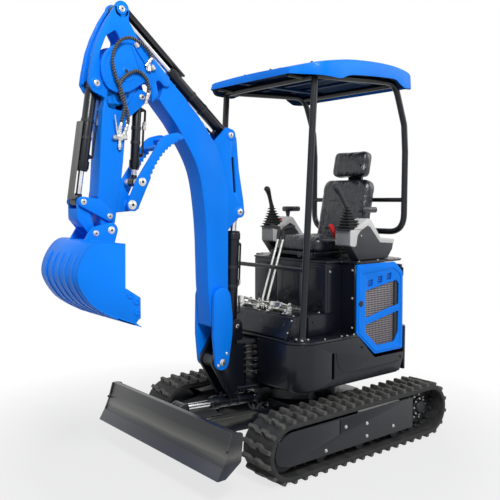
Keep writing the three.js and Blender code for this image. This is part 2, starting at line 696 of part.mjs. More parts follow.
// ---------------------------------------------------------------- canopy
function canopyFrame() {
  const v = (x, y, z) => new THREE.Vector3(x, y, z);
  const foot = floorZ + floorThick + fitGap;
  const top = post.height;
  const tubeSides = 8;
  let frame = null;
  const add = (body) => {
    frame = frame ? frame.add(body) : body;
  };
  for (const s of [-1, 1]) {
    const y = s * post.y;
    add(bar([post.baseX, y, foot + 2], [post.topX, y, top + 20], post.radius, tubeSides));
    add(bar([post.baseX, y, foot], [post.baseX, y, foot + 10], 42, 10));
    add(bar([post.rearTopX, y, top + 20], [post.rearX + 12, y, top - 190], post.radius, tubeSides));
    add(solid(new THREE.SphereGeometry(post.radius, tubeSides, 6).translate(post.rearX + 12, y, top - 190)));
    add(bar([post.rearX + 12, y, top - 190], [post.rearX, y, 1060], post.radius, tubeSides));
    const curve = new THREE.CubicBezierCurve3(
      v(post.rearX, y, 1062), v(post.rearX, y, 960), v(post.rearX, y - s * 60, 890), v(post.rearX, y - s * 190, 885));
    add(bentTube(curve, post.radius, 6));
  }
  add(bar([post.rearX, -post.y + 188, 885], [post.rearX, post.y - 188, 885], post.radius, tubeSides));
  add(bar([post.rearX + 3, -post.y, 1095], [post.rearX + 3, post.y, 1095], 15, 8));
  add(bar([290, -post.y, 690], [290, post.y, 690], 13, 8));
  for (const y of [-150, 150]) {
    add(box(post.rearX - 14, post.rearX + 14, y - 14, y + 14, seatDeckTop + fitGap, 885));
    add(box(post.rearX - 30, post.rearX + 44, y - 40, y + 40, seatDeckTop + fitGap, seatDeckTop + 12));
  }
  for (const x of [post.topX, post.rearTopX]) {
    add(bar([x, -post.y - 60, top + 20], [x, post.y + 60, top + 20], post.radius, tubeSides));
  }
  for (const y of [-post.y, post.y]) {
    add(bar([post.rearTopX - 10, y, top + 20], [canopy.front - 60, y, top + 20], 16, 8));
  }
  return frame;
}
piece('canopy_frame', canopyFrame(), black, upper);

// The roof is a thin shell with sloping sides, open below, and two ribs stand on the frame's tubes.
function canopyRoof() {
  const base = post.height + 20 + post.radius + fitGap;
  const { halfWidth, crown, skin } = canopy;
  const section = (inset) => shapeOf([
    [-halfWidth + inset, base - 46 - inset], [-halfWidth + 26 + inset, base + 26 - inset],
    [-halfWidth + 190 + inset, crown - inset], [halfWidth - 190 - inset, crown - inset],
    [halfWidth - 26 - inset, base + 26 - inset], [halfWidth - inset, base - 46 - inset]]);
  const shell = (inset) => {
    const depth = canopy.front - canopy.rear - 2 * inset;
    const geometry = new THREE.ExtrudeGeometry(section(inset), { depth, bevelEnabled: false });
    return solid(geometry.rotateX(Math.PI / 2).rotateZ(Math.PI / 2).translate(canopy.rear + inset, 0, 0));
  };
  const rib = (y) => box(canopy.rear + 4, canopy.front - 4, y - 20, y + 20, base, crown - 4);
  return join(cut(shell(0), shell(skin)), rib(-250), rib(250));
}
piece('canopy_roof', canopyRoof(), blue, upper);

// ---------------------------------------------------------------- swing post
const swingFrame = frameAt('swing_axis', upper, swing.x);
function swingPost() {
  const side = band([[boomFoot.x, boomFoot.z, 52], [boomRamFoot.x, boomRamFoot.z, 42], [60, 60, 50], [95, -40, 26]]);
  const hubLow = swing.low + fitGap;
  const hubHigh = swing.high - fitGap;
  let body = join(
    platePair(side, cheek.inner, cheek.inner + cheek.thick),
    bar([0, 0, hubLow], [0, 0, hubHigh], swing.hub, 16),
    bar([0, 0, swing.low - 40], [0, 0, swing.high + 34], swing.pin, 12),
    box(0, 90, -cheek.inner - 2, cheek.inner + 2, hubLow, 120));
  body = join(body, headedPin(boomRamFoot, cheek.inner + cheek.thick, pin.large));
  // The cheeks are cut back where they swing past the two lugs of the deck.
  const clear = bracket.nose + runGap + 1;
  for (const [z0, z1] of [[swing.low - 26 - runGap, swing.low - 1 + fitGap], [swing.high + 1 - fitGap, swing.high + 24 + runGap]]) {
    const notch = box(-200, clear, -200, 200, z0, z1);
    body = cut(body, cut(notch, bar([0, 0, z0 - 1], [0, 0, z1 + 1], swing.pin, 12)));
  }
  const sleeve = crossBar(boomFoot.x, boomFoot.z, -cheek.inner - 2, cheek.inner + 2, 42);
  return cut(body.add(sleeve), bore(boomFoot.x, boomFoot.z, -200, 200, pin.large + 5));
}
piece('swing_post', swingPost(), black, swingFrame);

// ---------------------------------------------------------------- boom
const boomFrame = frameAt('boom_pivot', swingFrame, boomFoot.x, 0, boomFoot.z);

// The beam's centre line: upright from the foot, then bowed forward towards the head.
const bowEnd = { x: boomTip.x - 62, z: boomTip.z + 58 };
const bow = new THREE.CubicBezierCurve(
  new THREE.Vector2(10, boomStraight), new THREE.Vector2(28, boomStraight + 300),
  new THREE.Vector2(bowEnd.x - 330, bowEnd.z - 280), new THREE.Vector2(bowEnd.x, bowEnd.z));
function beamShape(inset, tipShare) {
  const upperSide = [];
  const lowerSide = [];
  const steps = 14;
  for (let i = 0; i <= steps; i += 1) {
    const t = tipShare * i / steps;
    const p = bow.getPoint(t);
    const d = bow.getTangent(t);
    const depth = t < 0.4 ? THREE.MathUtils.lerp(boomDepth.bend * 0.93, boomDepth.bend, t / 0.4)
      : THREE.MathUtils.lerp(boomDepth.bend, boomDepth.tip, (t - 0.4) / 0.6);
    const half = depth / 2 - inset;
    upperSide.push([p.x - d.y * half, p.y + d.x * half]);
    lowerSide.push([p.x + d.y * half, p.y - d.x * half]);
  }
  const footHalf = boomDepth.foot / 2 - inset;
  return shapeOf([[footHalf - 6, 190], ...lowerSide, ...upperSide.reverse(), [-footHalf - 6, 190]]);
}

function boomBody() {
  const earInner = cheek.inner + cheek.thick + runGap;
  const earThick = 24;
  const ear = band([[0, 0, 58], [-6, 150, 62]]);
  const gusset = band([[-6, 130, 58], [0, 300, 58]]);
  let body = plate(beamShape(0, 0.86), -boomHalf, boomHalf);
  body = body.add(plate(gusset, -earInner - earThick, earInner + earThick));
  // Within the ears the foot is open, for the swing post and the boom cylinder's foot.
  const archCut = band([[0, 40, 62], [0, 160, 48]]);
  const postCut = band([[0, 0, 60], [boomRamFoot.x - boomFoot.x + 12, boomRamFoot.z - boomFoot.z, 54]]);
  body = cut(body, plate(archCut, -earInner, earInner), plate(postCut, -earInner, earInner));
  body = body.add(platePair(ear, earInner, earInner + earThick));
  body = body.add(headedPin({ x: 0, z: 0 }, earInner + earThick, pin.large + 5));
  // Lugs behind the beam carry the arm cylinder's foot and the boom cylinder's eye.
  const lug = new THREE.Shape();
  lug.moveTo(armRamFoot.x - 30, armRamFoot.z + 22);
  lug.quadraticCurveTo(armRamFoot.x, armRamFoot.z + 52, armRamFoot.x + 32, armRamFoot.z + 14);
  lug.quadraticCurveTo(armRamFoot.x + 70, armRamFoot.z - 18, 20, armRamFoot.z - 30);
  lug.lineTo(0, boomRamEye.z - 60);
  lug.lineTo(-60, boomRamEye.z - 110);
  lug.quadraticCurveTo(boomRamEye.x + 36, boomRamEye.z - 64, boomRamEye.x + 12, boomRamEye.z - 34);
  lug.quadraticCurveTo(boomRamEye.x - 34, boomRamEye.z - 24, boomRamEye.x - 32, boomRamEye.z + 20);
  lug.lineTo(armRamFoot.x - 42, armRamFoot.z - 40);
  lug.closePath();
  body = body.add(platePair(lug, boomHalf - 14, boomHalf - 2));
  body = join(body,
    headedPin(armRamFoot, boomHalf - 2, pin.large),
    pinEnds(boomRamEye, boomHalf - 14, boomHalf - 2, pin.large));
  // The beam stops short of the arm pivot, which two cheek plates carry.
  return cut(body, plate(disc(boomTip.x, boomTip.z, boomHead.reach), -boomHalf - 1, boomHalf + 1, 16));
}
piece('boom', boomBody(), blue, boomFrame);

const cheekInner = boomHalf + fitGap;
const cheekOuter = cheekInner + boomHead.cheek;
function boomCheek() {
  const neck = bow.getPoint(0.7);
  const head = band([[boomTip.x, boomTip.z, boomHead.radius], [neck.x + 6, neck.y - 6, 62]], 24);
  return cut(plate(head, cheekInner, cheekOuter),
    crossBar(boomTip.x, boomTip.z, cheekInner - 1, cheekOuter + 1, pin.large + 5 + fitGap));
}
piece('left_boom_cheek', boomCheek(), blue, boomFrame);
piece('right_boom_cheek', boomCheek().mirror([0, 1, 0]), blue, boomFrame);
piece('arm_pivot_pin', headedPin(boomTip, cheekOuter + fitGap, pin.large + 5), castIron, boomFrame);

cylinder('boom_cylinder', swingFrame, boomRamFoot,
  { x: boomFoot.x + boomRamEye.x, z: boomFoot.z + boomRamEye.z }, {
    radius: 40, length: 560, eye: 36, eyeHalf: 45, footPin: pin.large, rod: 20, reach: 590,
  });

// ---------------------------------------------------------------- arm
const armFrame = frameAt('arm_pivot', boomFrame, boomTip.x, 0, boomTip.z);
function armBody() {
  const half = armHalf;
  const hub = 56;
  const neck = [70, -190, 52];
  const beam = band([neck, [armLength.x - 6, armLength.z + 130, 46], [armLength.x, armLength.z, 34]]);
  const headFront = band([[armRamEye.x, armRamEye.z, 40], [bucketRamFoot.x - 14, 120, 34], [bucketRamFoot.x, bucketRamFoot.z, 40]]);
  const headRear = band([[armRamEye.x, armRamEye.z, 40], [0, 0, hub + 12]]);
  const headLow = band([[0, 0, hub + 12], [bucketRamFoot.x, bucketRamFoot.z, 40], neck]);
  let body = plate(beam, -half, half);
  for (const shape of [headFront, headRear, headLow]) {
    body = body.add(platePair(shape, half - armPlate, half));
  }
  body = body.add(crossBar(0, 0, -half, half, hub));
  body = body.add(plate(band([neck, [20, -70, 40]]), -half, half));
  body = cut(body, bore(0, 0, -200, 200, pin.large + 5));
  body = body.add(headedPin(bucketRamFoot, half, pin.small + 2));
  body = body.add(pinEnds(armRamEye, half - armPlate, half, pin.large));
  const thumbEar = band([[thumbRamFoot.x, thumbRamFoot.z, 30], [20, -140, 60], [30, -230, 40]]);
  body = body.add(platePair(thumbEar, half - 26, half - 14));
  body = body.add(headedPin(thumbRamFoot, half - 14, pin.small));
  const thumbLug = band([[thumbPivot.x, thumbPivot.z, 34], [60, thumbPivot.z + 80, 40], [80, thumbPivot.z - 10, 30]]);
  body = body.add(plate(thumbLug, -half, half));
  body = body.add(headedPin(thumbPivot, thumb.inner + thumb.thick, pin.large));
  body = body.add(crossBar(rockerPin.x, rockerPin.z, -rockerOuter - pin.head, rockerOuter + pin.head, pin.small));
  return cut(body, bore(armLength.x, armLength.z, -200, 200, pin.large));
}
piece('arm', armBody(), blue, armFrame);

cylinder('arm_cylinder', boomFrame, armRamFoot, { x: boomTip.x + armRamEye.x, z: boomTip.z + armRamEye.z }, {
  radius: 32, length: 500, eye: 32, eyeHalf: 46, rodEyeHalf: 36, footPin: pin.large, rod: 17, reach: 505,
}, {
  rod: (rod) => rod.add(box(-400, -8, -26, 26, 40, 46)).add(box(-30, -8, -20, 20, 10, 44)),
});

// ---------------------------------------------------------------- bucket and its linkage
const bucketFrame = frameAt('bucket_pivot', armFrame, armLength.x, 0, armLength.z);
function bucketBody() {
  const outline = (grow) => {
    const shape = new THREE.Shape();
    shape.moveTo(-12, -66 - grow);
    shape.lineTo(60, -52 - grow);
    shape.quadraticCurveTo(186, -46, 232 - grow, -140);
    shape.quadraticCurveTo(266 - grow, -226, 205 - grow, -318 + grow);
    shape.quadraticCurveTo(160, -372 + grow, 90, -408 + grow);
    shape.lineTo(-60, -478 + grow);
    return shape;
  };
  const side = outline(0);
  side.lineTo(-92, -440);
  side.lineTo(-92, -340);
  side.lineTo(-9, -288);
  side.closePath();
  const hollow = outline(bucket.plate);
  hollow.lineTo(-140, -500);
  hollow.lineTo(-140, -74);
  hollow.closePath();
  const w = bucket.halfWidth;
  const ear = band([[0, 0, 38], [bucketEye.x, bucketEye.z, 34], [110, -70, 36], [10, -80, 26]]);
  const earInner = rockerOuter + runGap;
  let body = cut(join(plate(side, -w, w, 8), platePair(ear, earInner, earInner + 14)),
    plate(hollow, -w + bucket.plate, w - bucket.plate, 8));
  const lip = shapeOf([[-114, -496], [60, -428], [56, -414], [-60, -464]]);
  body = body.add(plate(lip, -w, w));
  for (const y of [-w * 0.78, -w * 0.26, w * 0.26, w * 0.78]) {
    body = body.add(plate(lip, y - 22, y + 22));
  }
  body = body.add(headedPin({ x: 0, z: 0 }, earInner + 14, pin.large));
  return body.add(pinEnds(bucketEye, earInner, earInner + 14, pin.small));
}
piece('bucket', bucketBody(), blue, bucketFrame);

const linkCheek = { inner: armHalf - 13, outer: armHalf - 1 };
const rockerFrame = frameAt('rocker_pivot', armFrame, rockerPin.x, 0, rockerPin.z);
const rodAt = { x: rodPin.x - rockerPin.x, z: rodPin.z - rockerPin.z };
function rockerBody() {
  const link = band([[0, 0, 25], [rodAt.x * 0.45, rodAt.z * 0.5 + 22, 30], [rodAt.x, rodAt.z, 26]]);
  const body = platePair(link, armHalf + 4, rockerOuter);
  // The plates are tied by a bar between the arm's front face and the push link.
  const tie = crossBar(rodAt.x - 54, rodAt.z - 37, -rockerOuter + 1, rockerOuter - 1, 9, 10);
  const ends = pinEnds(rodAt, linkCheek.inner + 1, rockerOuter, pin.small);
  return cut(join(body, tie, ends), bore(0, 0, -200, 200, pin.small));
}
piece('rocker_link', rockerBody(), blue, rockerFrame);

const pushFrame = frameAt('push_link_pivot', rockerFrame, rodAt.x, 0, rodAt.z);
const linkEnd = { x: armLength.x + bucketEye.x - rodPin.x, z: armLength.z + bucketEye.z - rodPin.z };
function pushLink() {
  const outline = (dx) => band([[dx, 0, 26], [linkEnd.x * 0.5 + 30 + dx, linkEnd.z * 0.5, 23],
    [linkEnd.x + dx, linkEnd.z, 17]]);
  const { inner, outer } = linkCheek;
  // Two cheeks and a front skin between them leave room for the rod's eye.
  return cut(plate(outline(0), -outer, outer),
    plate(outline(-12), -inner, inner),
    box(-80, 80, -inner, inner, -34, 60),
    box(linkEnd.x - 60, linkEnd.x + 60, -inner, inner, linkEnd.z - 60, linkEnd.z + 30),
    bore(0, 0, -outer - 1, outer + 1, pin.small));
}
piece('push_link', pushLink(), blue, pushFrame);

cylinder('bucket_cylinder', armFrame, bucketRamFoot, rodPin, {
  radius: 30, length: 440, eye: 26, eyeHalf: 42, rodEyeHalf: 34, footPin: pin.small + 2, rod: 15, reach: 480,
}, {
  rod: (rod) => rod.add(box(-400, -8, -24, 24, 40, 46)).add(box(-26, -8, -18, 18, 10, 44)),
});

// ---------------------------------------------------------------- thumb
const thumbFrame = frameAt('thumb_pivot', armFrame, thumbPivot.x, 0, thumbPivot.z);
function thumbBody() {
  const shape = new THREE.Shape();
  shape.moveTo(32, -4);
  shape.quadraticCurveTo(24, -32, -8, -34);
  shape.quadraticCurveTo(-34, -30, -44, 0);
  shape.lineTo(-112, 140);
  const teeth = 9;
  const start = new THREE.Vector2(-112, 140);
  const bend = new THREE.Vector2(-175, 290);
  const end = new THREE.Vector2(-300, 346);
  const edge = new THREE.QuadraticBezierCurve(start, bend, end);
  for (let i = 0; i < teeth; i += 1) {
    const root = edge.getPoint((i + 0.5) / teeth);
    const tip = edge.getPoint((i + 1) / teeth);
    const out = edge.getTangent((i + 0.5) / teeth);
    shape.lineTo(root.x - out.y * -10, root.y + out.x * -10);
    shape.lineTo(tip.x, tip.y);
  }
  shape.lineTo(-326, 362);
  shape.quadraticCurveTo(-240, 412, -176, 350);
  shape.quadraticCurveTo(-110, 250, -30, 130);
  shape.closePath();
  let body = platePair(shape, thumb.inner, thumb.inner + thumb.thick, 5);
  body = body.add(crossBar(-172, 302, -thumb.inner - 1, thumb.inner + 1, 14, 12));
  body = cut(body, bore(0, 0, -200, 200, pin.large));
  return body.add(pinEnds(thumbEye, 30, thumb.inner + thumb.thick, pin.large));
}
piece('thumb', thumbBody(), blue, thumbFrame);
cylinder('thumb_cylinder', armFrame, thumbRamFoot, { x: thumbPivot.x + thumbEye.x, z: thumbPivot.z + thumbEye.z }, {
  radius: 24, length: 330, eye: 24, eyeHalf: 28, rodEyeHalf: 28, footPin: pin.small, rod: 12, reach: 385,
});

// ---------------------------------------------------------------- place on the ground
machine.updateMatrixWorld(true);
const bounds = new THREE.Box3().setFromObject(machine, true);
machine.position.set(-(bounds.min.x + bounds.max.x) / 2, -(bounds.min.y + bounds.max.y) / 2, -bounds.min.z);
machine.updateMatrixWorld(true);

export default machine;
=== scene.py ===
import json
from math import atan2, cos, pi, radians, sin, tan
import bpy
from mathutils import Matrix, Vector
from mathutils.geometry import convex_hull_2d


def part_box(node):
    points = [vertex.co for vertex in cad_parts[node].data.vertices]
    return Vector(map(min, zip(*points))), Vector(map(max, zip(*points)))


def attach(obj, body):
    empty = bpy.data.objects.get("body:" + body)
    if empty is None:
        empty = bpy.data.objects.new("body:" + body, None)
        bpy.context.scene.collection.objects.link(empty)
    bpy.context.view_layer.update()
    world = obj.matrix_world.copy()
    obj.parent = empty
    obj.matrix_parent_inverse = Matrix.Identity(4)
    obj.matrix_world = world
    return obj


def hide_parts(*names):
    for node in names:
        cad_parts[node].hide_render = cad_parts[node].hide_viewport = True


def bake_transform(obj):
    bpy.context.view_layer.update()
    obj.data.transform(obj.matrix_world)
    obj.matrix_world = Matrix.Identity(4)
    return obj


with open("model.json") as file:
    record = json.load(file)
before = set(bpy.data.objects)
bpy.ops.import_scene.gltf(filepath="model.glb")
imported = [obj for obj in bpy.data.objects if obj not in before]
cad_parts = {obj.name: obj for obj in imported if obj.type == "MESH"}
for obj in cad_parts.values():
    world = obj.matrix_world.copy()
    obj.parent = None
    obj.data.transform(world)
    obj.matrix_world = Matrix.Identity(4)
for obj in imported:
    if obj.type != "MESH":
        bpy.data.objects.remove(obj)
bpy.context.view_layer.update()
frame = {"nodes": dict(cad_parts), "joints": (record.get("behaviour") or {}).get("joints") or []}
joints = {joint["name"]: joint for joint in frame["joints"]}


def pivot(name):
    return Vector(joints[name]["pos_m"])


slewAxis = pivot("slew")
boomPin = pivot("boom_lift")
armPin = pivot("arm_crowd")
bucketPin = pivot("bucket_curl")
rockerPin = pivot("rocker_turn")
linkPin = pivot("push_link_turn")
thumbPin = pivot("thumb_turn")
bladePin = pivot("blade_lift")
# the deck plate's underside, on the slew axis
deckBase = Vector((slewAxis.x, 0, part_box("slew_ring")[1].z + 0.0003))


cameraRig = {
    "eye": (2.5764, 3.2011, 1.5082),
    "aim": (-0.4176, -0.4763, 1.1648),
    "lens": 49.06, "far": 60,
}


def setCamera(rig):
    bpy.ops.object.camera_add(location=rig["eye"])
    camera = bpy.context.object
    camera.data.lens = rig["lens"]
    camera.data.clip_end = rig["far"]
    camera.rotation_euler = (Vector(rig["aim"]) - Vector(rig["eye"])).to_track_quat("-Z", "Y").to_euler()
    bpy.context.scene.camera = camera
    print("camera set")


lampRig = {
    "key": {"at": (2.4, 5.0, 5.6), "size": 1.7, "power": 400},
    "side": {"at": (5.2, -1.2, 3.2), "size": 3.0, "power": 40},
    "rear": {"at": (-4.6, 3.0, 3.6), "size": 3.0, "power": 80},
    "world": 0.3, "sky": (0.93, 0.96, 1, 1), "middle": (0, 0, 0.9),
}


def seenRays(tree):
    # 1 where the camera, gloss or glass looks, and 0 for the light that reaches the machine
    path = tree.nodes.new("ShaderNodeLightPath")
    total = path.outputs["Is Camera Ray"]
    for name in ("Is Glossy Ray", "Is Transmission Ray"):
        either = tree.nodes.new("ShaderNodeMath")
        either.operation = "MAXIMUM"
        tree.links.new(total, either.inputs[0])
        tree.links.new(path.outputs[name], either.inputs[1])
        total = either.outputs[0]
    return total


def mixShaders(tree, share, first, second, output):
    mix = tree.nodes.new("ShaderNodeMixShader")
    tree.links.new(share, mix.inputs["Fac"])
    tree.links.new(first.outputs[0], mix.inputs[1])
    tree.links.new(second.outputs[0], mix.inputs[2])
    tree.links.new(mix.outputs[0], output.inputs["Surface"])


def setLights(rig):
    for name in ("key", "side", "rear"):
        lamp = rig[name]
        bpy.ops.object.light_add(type="AREA", location=lamp["at"])
        light = bpy.context.object
        light.data.size = lamp["size"]
        light.data.energy = lamp["power"]
        toMachine = Vector(rig["middle"]) - Vector(lamp["at"])
        light.rotation_euler = toMachine.to_track_quat("-Z", "Y").to_euler()
    world = bpy.data.worlds.new("studioWorld")
    bpy.context.scene.world = world
    world.use_nodes = True
    tree = world.node_tree
    plain = tree.nodes["Background"]
    plain.inputs["Color"].default_value = rig["sky"]
    plain.inputs["Strength"].default_value = rig["world"]
    white = tree.nodes.new("ShaderNodeBackground")
    white.inputs["Color"].default_value = (1, 1, 1, 1)
    mixShaders(tree, seenRays(tree), plain, white, tree.nodes["World Output"])
    bpy.context.scene.view_settings.view_transform = "Standard"
    print("lights set")


class Value:
    # wraps a socket, so that expressions on it add Math nodes
    def __init__(self, shader, socket):
        self.shader = shader
        self.socket = socket

    def math(self, kind, first, second):
        return self.shader.node("Math", {"operation": kind}, {0: first, 1: second})

    def __add__(self, other):
        return self.math("ADD", self, other)

    def __sub__(self, other):
        return self.math("SUBTRACT", self, other)

    def __mul__(self, other):
        return self.math("MULTIPLY", self, other)

    def __radd__(self, other):
        return self.math("ADD", other, self)

    def __rsub__(self, other):
        return self.math("SUBTRACT", other, self)

    def __rmul__(self, other):
        return self.math("MULTIPLY", other, self)


class Shader:
    # one Principled material and the nodes that feed it
    def __init__(self, name, **fixed):
        self.material = bpy.data.materials.new(name)
        self.material.use_nodes = True
        self.tree = self.material.node_tree
        self.surface = self.tree.nodes["Principled BSDF"]
        for socket, value in fixed.items():
            self.surface.inputs[socket.replace("_", " ")].default_value = value

    def node(self, kind, settings, sockets, out=0):
        made = self.tree.nodes.new("ShaderNode" + kind)
        for key, value in settings.items():
            if key == "stops":
                ramp = made.color_ramp.elements
                while len(ramp) < len(value):
                    ramp.new(0.5)
                for stop, (place, grey) in zip(ramp, value):
                    stop.position = place
                    stop.color = (grey, grey, grey, 1)
            else:
                setattr(made, key, value)
        for key, value in sockets.items():
            if isinstance(value, Value):
                self.tree.links.new(value.socket, made.inputs[key])
            else:
                made.inputs[key].default_value = value
        return Value(self, made.outputs[out])

    def place(self, kind="Object"):
        return self.node("TexCoord", {}, {}, kind)

    def noise(self, scale, detail=3.0, where=None, roughness=0.5):
        where = where or self.place()
        return self.node("TexNoise", {}, {"Vector": where, "Scale": scale, "Detail": detail,
            "Roughness": roughness})

    def step(self, value, low, high):
        return self.node("MapRange", {}, {"Value": value, "From Min": low, "From Max": high})

    def height(self):
        return self.node("SeparateXYZ", {}, {"Vector": self.place()}, 2)

    def blendColour(self, amount, first, second):
        return self.node("Mix", {"data_type": "RGBA"}, {0: amount, 6: first, 7: second}, 2)

    def feed(self, socket, value):
        self.tree.links.new(value.socket, self.surface.inputs[socket])

    def bump(self, height, strength, distance):
        bumped = self.node("Bump", {}, {"Height": height, "Strength": strength, "Distance": distance})
        self.feed("Normal", bumped)


def rgb(red, green, blue):
    return (red, green, blue, 1)


def paint(name, colour, roughness, coat, dust, gloss=0.25):
    # sprayed enamel: a slightly uneven film with road dust low down
    shader = Shader(name, Coat_Roughness=0.1, Specular_IOR_Level=gloss)
    broad = shader.noise(2.2, 2)
    fine = shader.noise(46, 4)
    film = shader.noise(420, 2)
    deep = tuple(c * 0.86 for c in colour[:3]) + (1,)
    light = tuple(min(1, c * 1.06 + 0.001) for c in colour[:3]) + (1,)
    tone = shader.blendColour(shader.step(broad, 0.3, 0.7), deep, light)
    low = 1 - shader.step(shader.height(), 0.05, dust["height"])
    grime = low * shader.step(fine * 0.3 + broad, 0.55, 1.0) * dust["amount"]
    shader.feed("Base Color", shader.blendColour(grime, tone, rgb(*dust["colour"])))
    shader.feed("Roughness", shader.step(fine, 0.2, 0.8) * 0.08 + roughness + grime * 0.5)
    shader.feed("Coat Weight", coat - grime * coat)
    shader.bump(film * 0.12 + broad * 0.8, 0.1, 0.0015)
    return shader.material


def sheenBandPaint(name, colour, sheenColour, levels):
    # the blade's face: a lighter band at one height, in soft streaks along its length, is painted sheen;
    # towards the bottom it turns navy
    shader = Shader(name, Specular_IOR_Level=0.4, Coat_Roughness=0.15)
    where = shader.node("Mapping", {}, {"Vector": shader.place(), "Scale": (3, 0.5, 9)})
    soft = shader.noise(2.4, 3, where)
    height = shader.height() + soft * 0.05
    # the painted sheen: a lighter colour over one band of heights
    sheenBand = shader.step(height, levels[0], levels[1]) * (1 - shader.step(height, levels[2], levels[3]))
    # navy towards the bottom
    low = 1 - shader.step(height, 0.12, 0.26)
    tone = shader.blendColour(sheenBand * (soft + 0.35), colour, sheenColour)
    shader.feed("Base Color", shader.blendColour(low * 0.8, tone, rgb(0.012, 0.026, 0.062)))
    shader.feed("Roughness", soft * 0.2 + 0.24)
    shader.feed("Coat Weight", sheenBand * 0.25 + 0.12)
    shader.bump(soft, 0.06, 0.002)
    return shader.material


def castMetal(name, colour, roughness, metallic, grainSize):
    shader = Shader(name, Metallic=metallic)
    fine = shader.noise(grainSize, 6)
    broad = shader.noise(5, 3)
    dark = tuple(c * 0.7 for c in colour[:3]) + (1,)
    shader.feed("Base Color", shader.blendColour(shader.step(fine + broad * 0.6, 0.5, 1.1), dark, colour))
    shader.feed("Roughness", fine * 0.16 + roughness)
    shader.bump(fine, 0.35, 0.002)
    return shader.material


def plated(name, colour, roughness):
    # ground and plated steel, with the faint rings that grinding leaves
    shader = Shader(name, Metallic=1.0)
    fine = shader.noise(900, 2)
    broad = shader.noise(14, 3)
    dull = tuple(c * 0.72 for c in colour[:3]) + (1,)
    shader.feed("Base Color", shader.blendColour(shader.step(broad, 0.35, 0.75), colour, dull))
    shader.feed("Roughness", broad * 0.14 + roughness)
    shader.bump(fine, 0.04, 0.0006)
    return shader.material


def trackRubber(name, dark, light):
    shader = Shader(name, Specular_IOR_Level=0.35)
    pores = shader.noise(300, 5)
    smear = shader.noise(18, 4)
    tone = shader.blendColour(shader.step(smear, 0.3, 0.75), dark, light)
    shader.feed("Base Color", tone)
    shader.feed("Roughness", smear * 0.3 + 0.52)
    shader.bump(pores + smear * 2, 0.35, 0.0025)
    return shader.material


def mouldedPlastic(name, colour, roughness, grain=520):
    shader = Shader(name, Specular_IOR_Level=0.45)
    cells = shader.node("TexVoronoi", {}, {"Vector": shader.place(), "Scale": grain})
    broad = shader.noise(7, 3)
    light = tuple(min(1, c * 1.12 + 0.003) for c in colour[:3]) + (1,)
    shader.feed("Base Color", shader.blendColour(shader.step(broad, 0.35, 0.7), colour, light))
    shader.feed("Roughness", broad * 0.12 + roughness)
    shader.bump(cells, 0.25, 0.0012)
    return shader.material


def seatVinyl(name):
    # soft vinyl: creased leather grain, with a sheen where it is stretched
    shader = Shader(name, Specular_IOR_Level=0.5, Coat_Roughness=0.3)
    where = shader.place()
    grain = shader.node("TexVoronoi", {"feature": "DISTANCE_TO_EDGE"}, {"Vector": where, "Scale": 240})
    crease = shader.noise(26, 5, where, 0.65)
    tone = shader.blendColour(shader.step(crease, 0.3, 0.75), rgb(0.0028, 0.0045, 0.0085),
        rgb(0.007, 0.0105, 0.018))
    shader.feed("Base Color", tone)
    shader.feed("Roughness", crease * 0.26 + 0.16)
    pull = shader.node("Mapping", {}, {"Vector": where, "Scale": (16, 30, 5)})
    folds = shader.noise(1.2, 4, pull, 0.6)
    shader.feed("Coat Weight", shader.step(crease, 0.4, 0.8) * 0.35 + 0.1)
    shader.bump(shader.step(grain, 0.0, 0.22) * 0.06 + crease * 0.7 + folds * 4, 0.45, 0.004)
    return shader.material


def grilleMesh(name, light, dark):
    # woven wire screen, with holes painted dark: painted shade of the space behind it
    shader = Shader(name, Metallic=0.6, Roughness=0.5)
    axes = [shader.node("SeparateXYZ", {}, {"Vector": shader.place()}, place) for place in (0, 2)]
    across = shader.node("Math", {"operation": "SINE"}, {0: (axes[0] + axes[1]) * 230})
    along = shader.node("Math", {"operation": "SINE"}, {0: (axes[0] - axes[1]) * 230})
    wire = shader.step(across * along, -0.1, 0.25)
    shader.feed("Base Color", shader.blendColour(wire, light, dark))
    shader.bump(1 - wire, 0.6, 0.002)
    return shader.material


clean = {"height": 0.06, "amount": 0.0, "colour": (0.2, 0.18, 0.15)}
dusty = {"height": 0.6, "amount": 0.1, "colour": (0.1, 0.092, 0.08)}
bluePaint = paint("bluePaint", rgb(0.001, 0.215, 0.92), 0.4, 0.05, clean, 0.12)
blackPaint = paint("blackPaint", rgb(0.0045, 0.0062, 0.0115), 0.3, 0.18, dusty)
# the blade's lighter band is painted sheen
bladePaint = sheenBandPaint("bladePaint", rgb(0.011, 0.012, 0.015), rgb(0.1, 0.1, 0.09),
    (0.25, 0.28, 0.28, 0.33))
# the roof's underside faces and ribs take this darker blue: painted shade under the roof
roofUndersideShade = paint("roofUndersideShade", rgb(0.003, 0.032, 0.105), 0.5, 0.0, clean, 0.1)
tubePaint = paint("tubePaint", rgb(0.0045, 0.0062, 0.0105), 0.34, 0.2, clean)
greyPaint = paint("greyPaint", rgb(0.13, 0.13, 0.125), 0.5, 0.1, clean)
ironPaint = castMetal("ironPaint", rgb(0.022, 0.023, 0.027), 0.42, 0.3, 120)
chrome = plated("chrome", rgb(0.82, 0.83, 0.85), 0.1)
zinc = plated("zinc", rgb(0.7, 0.7, 0.68), 0.26)
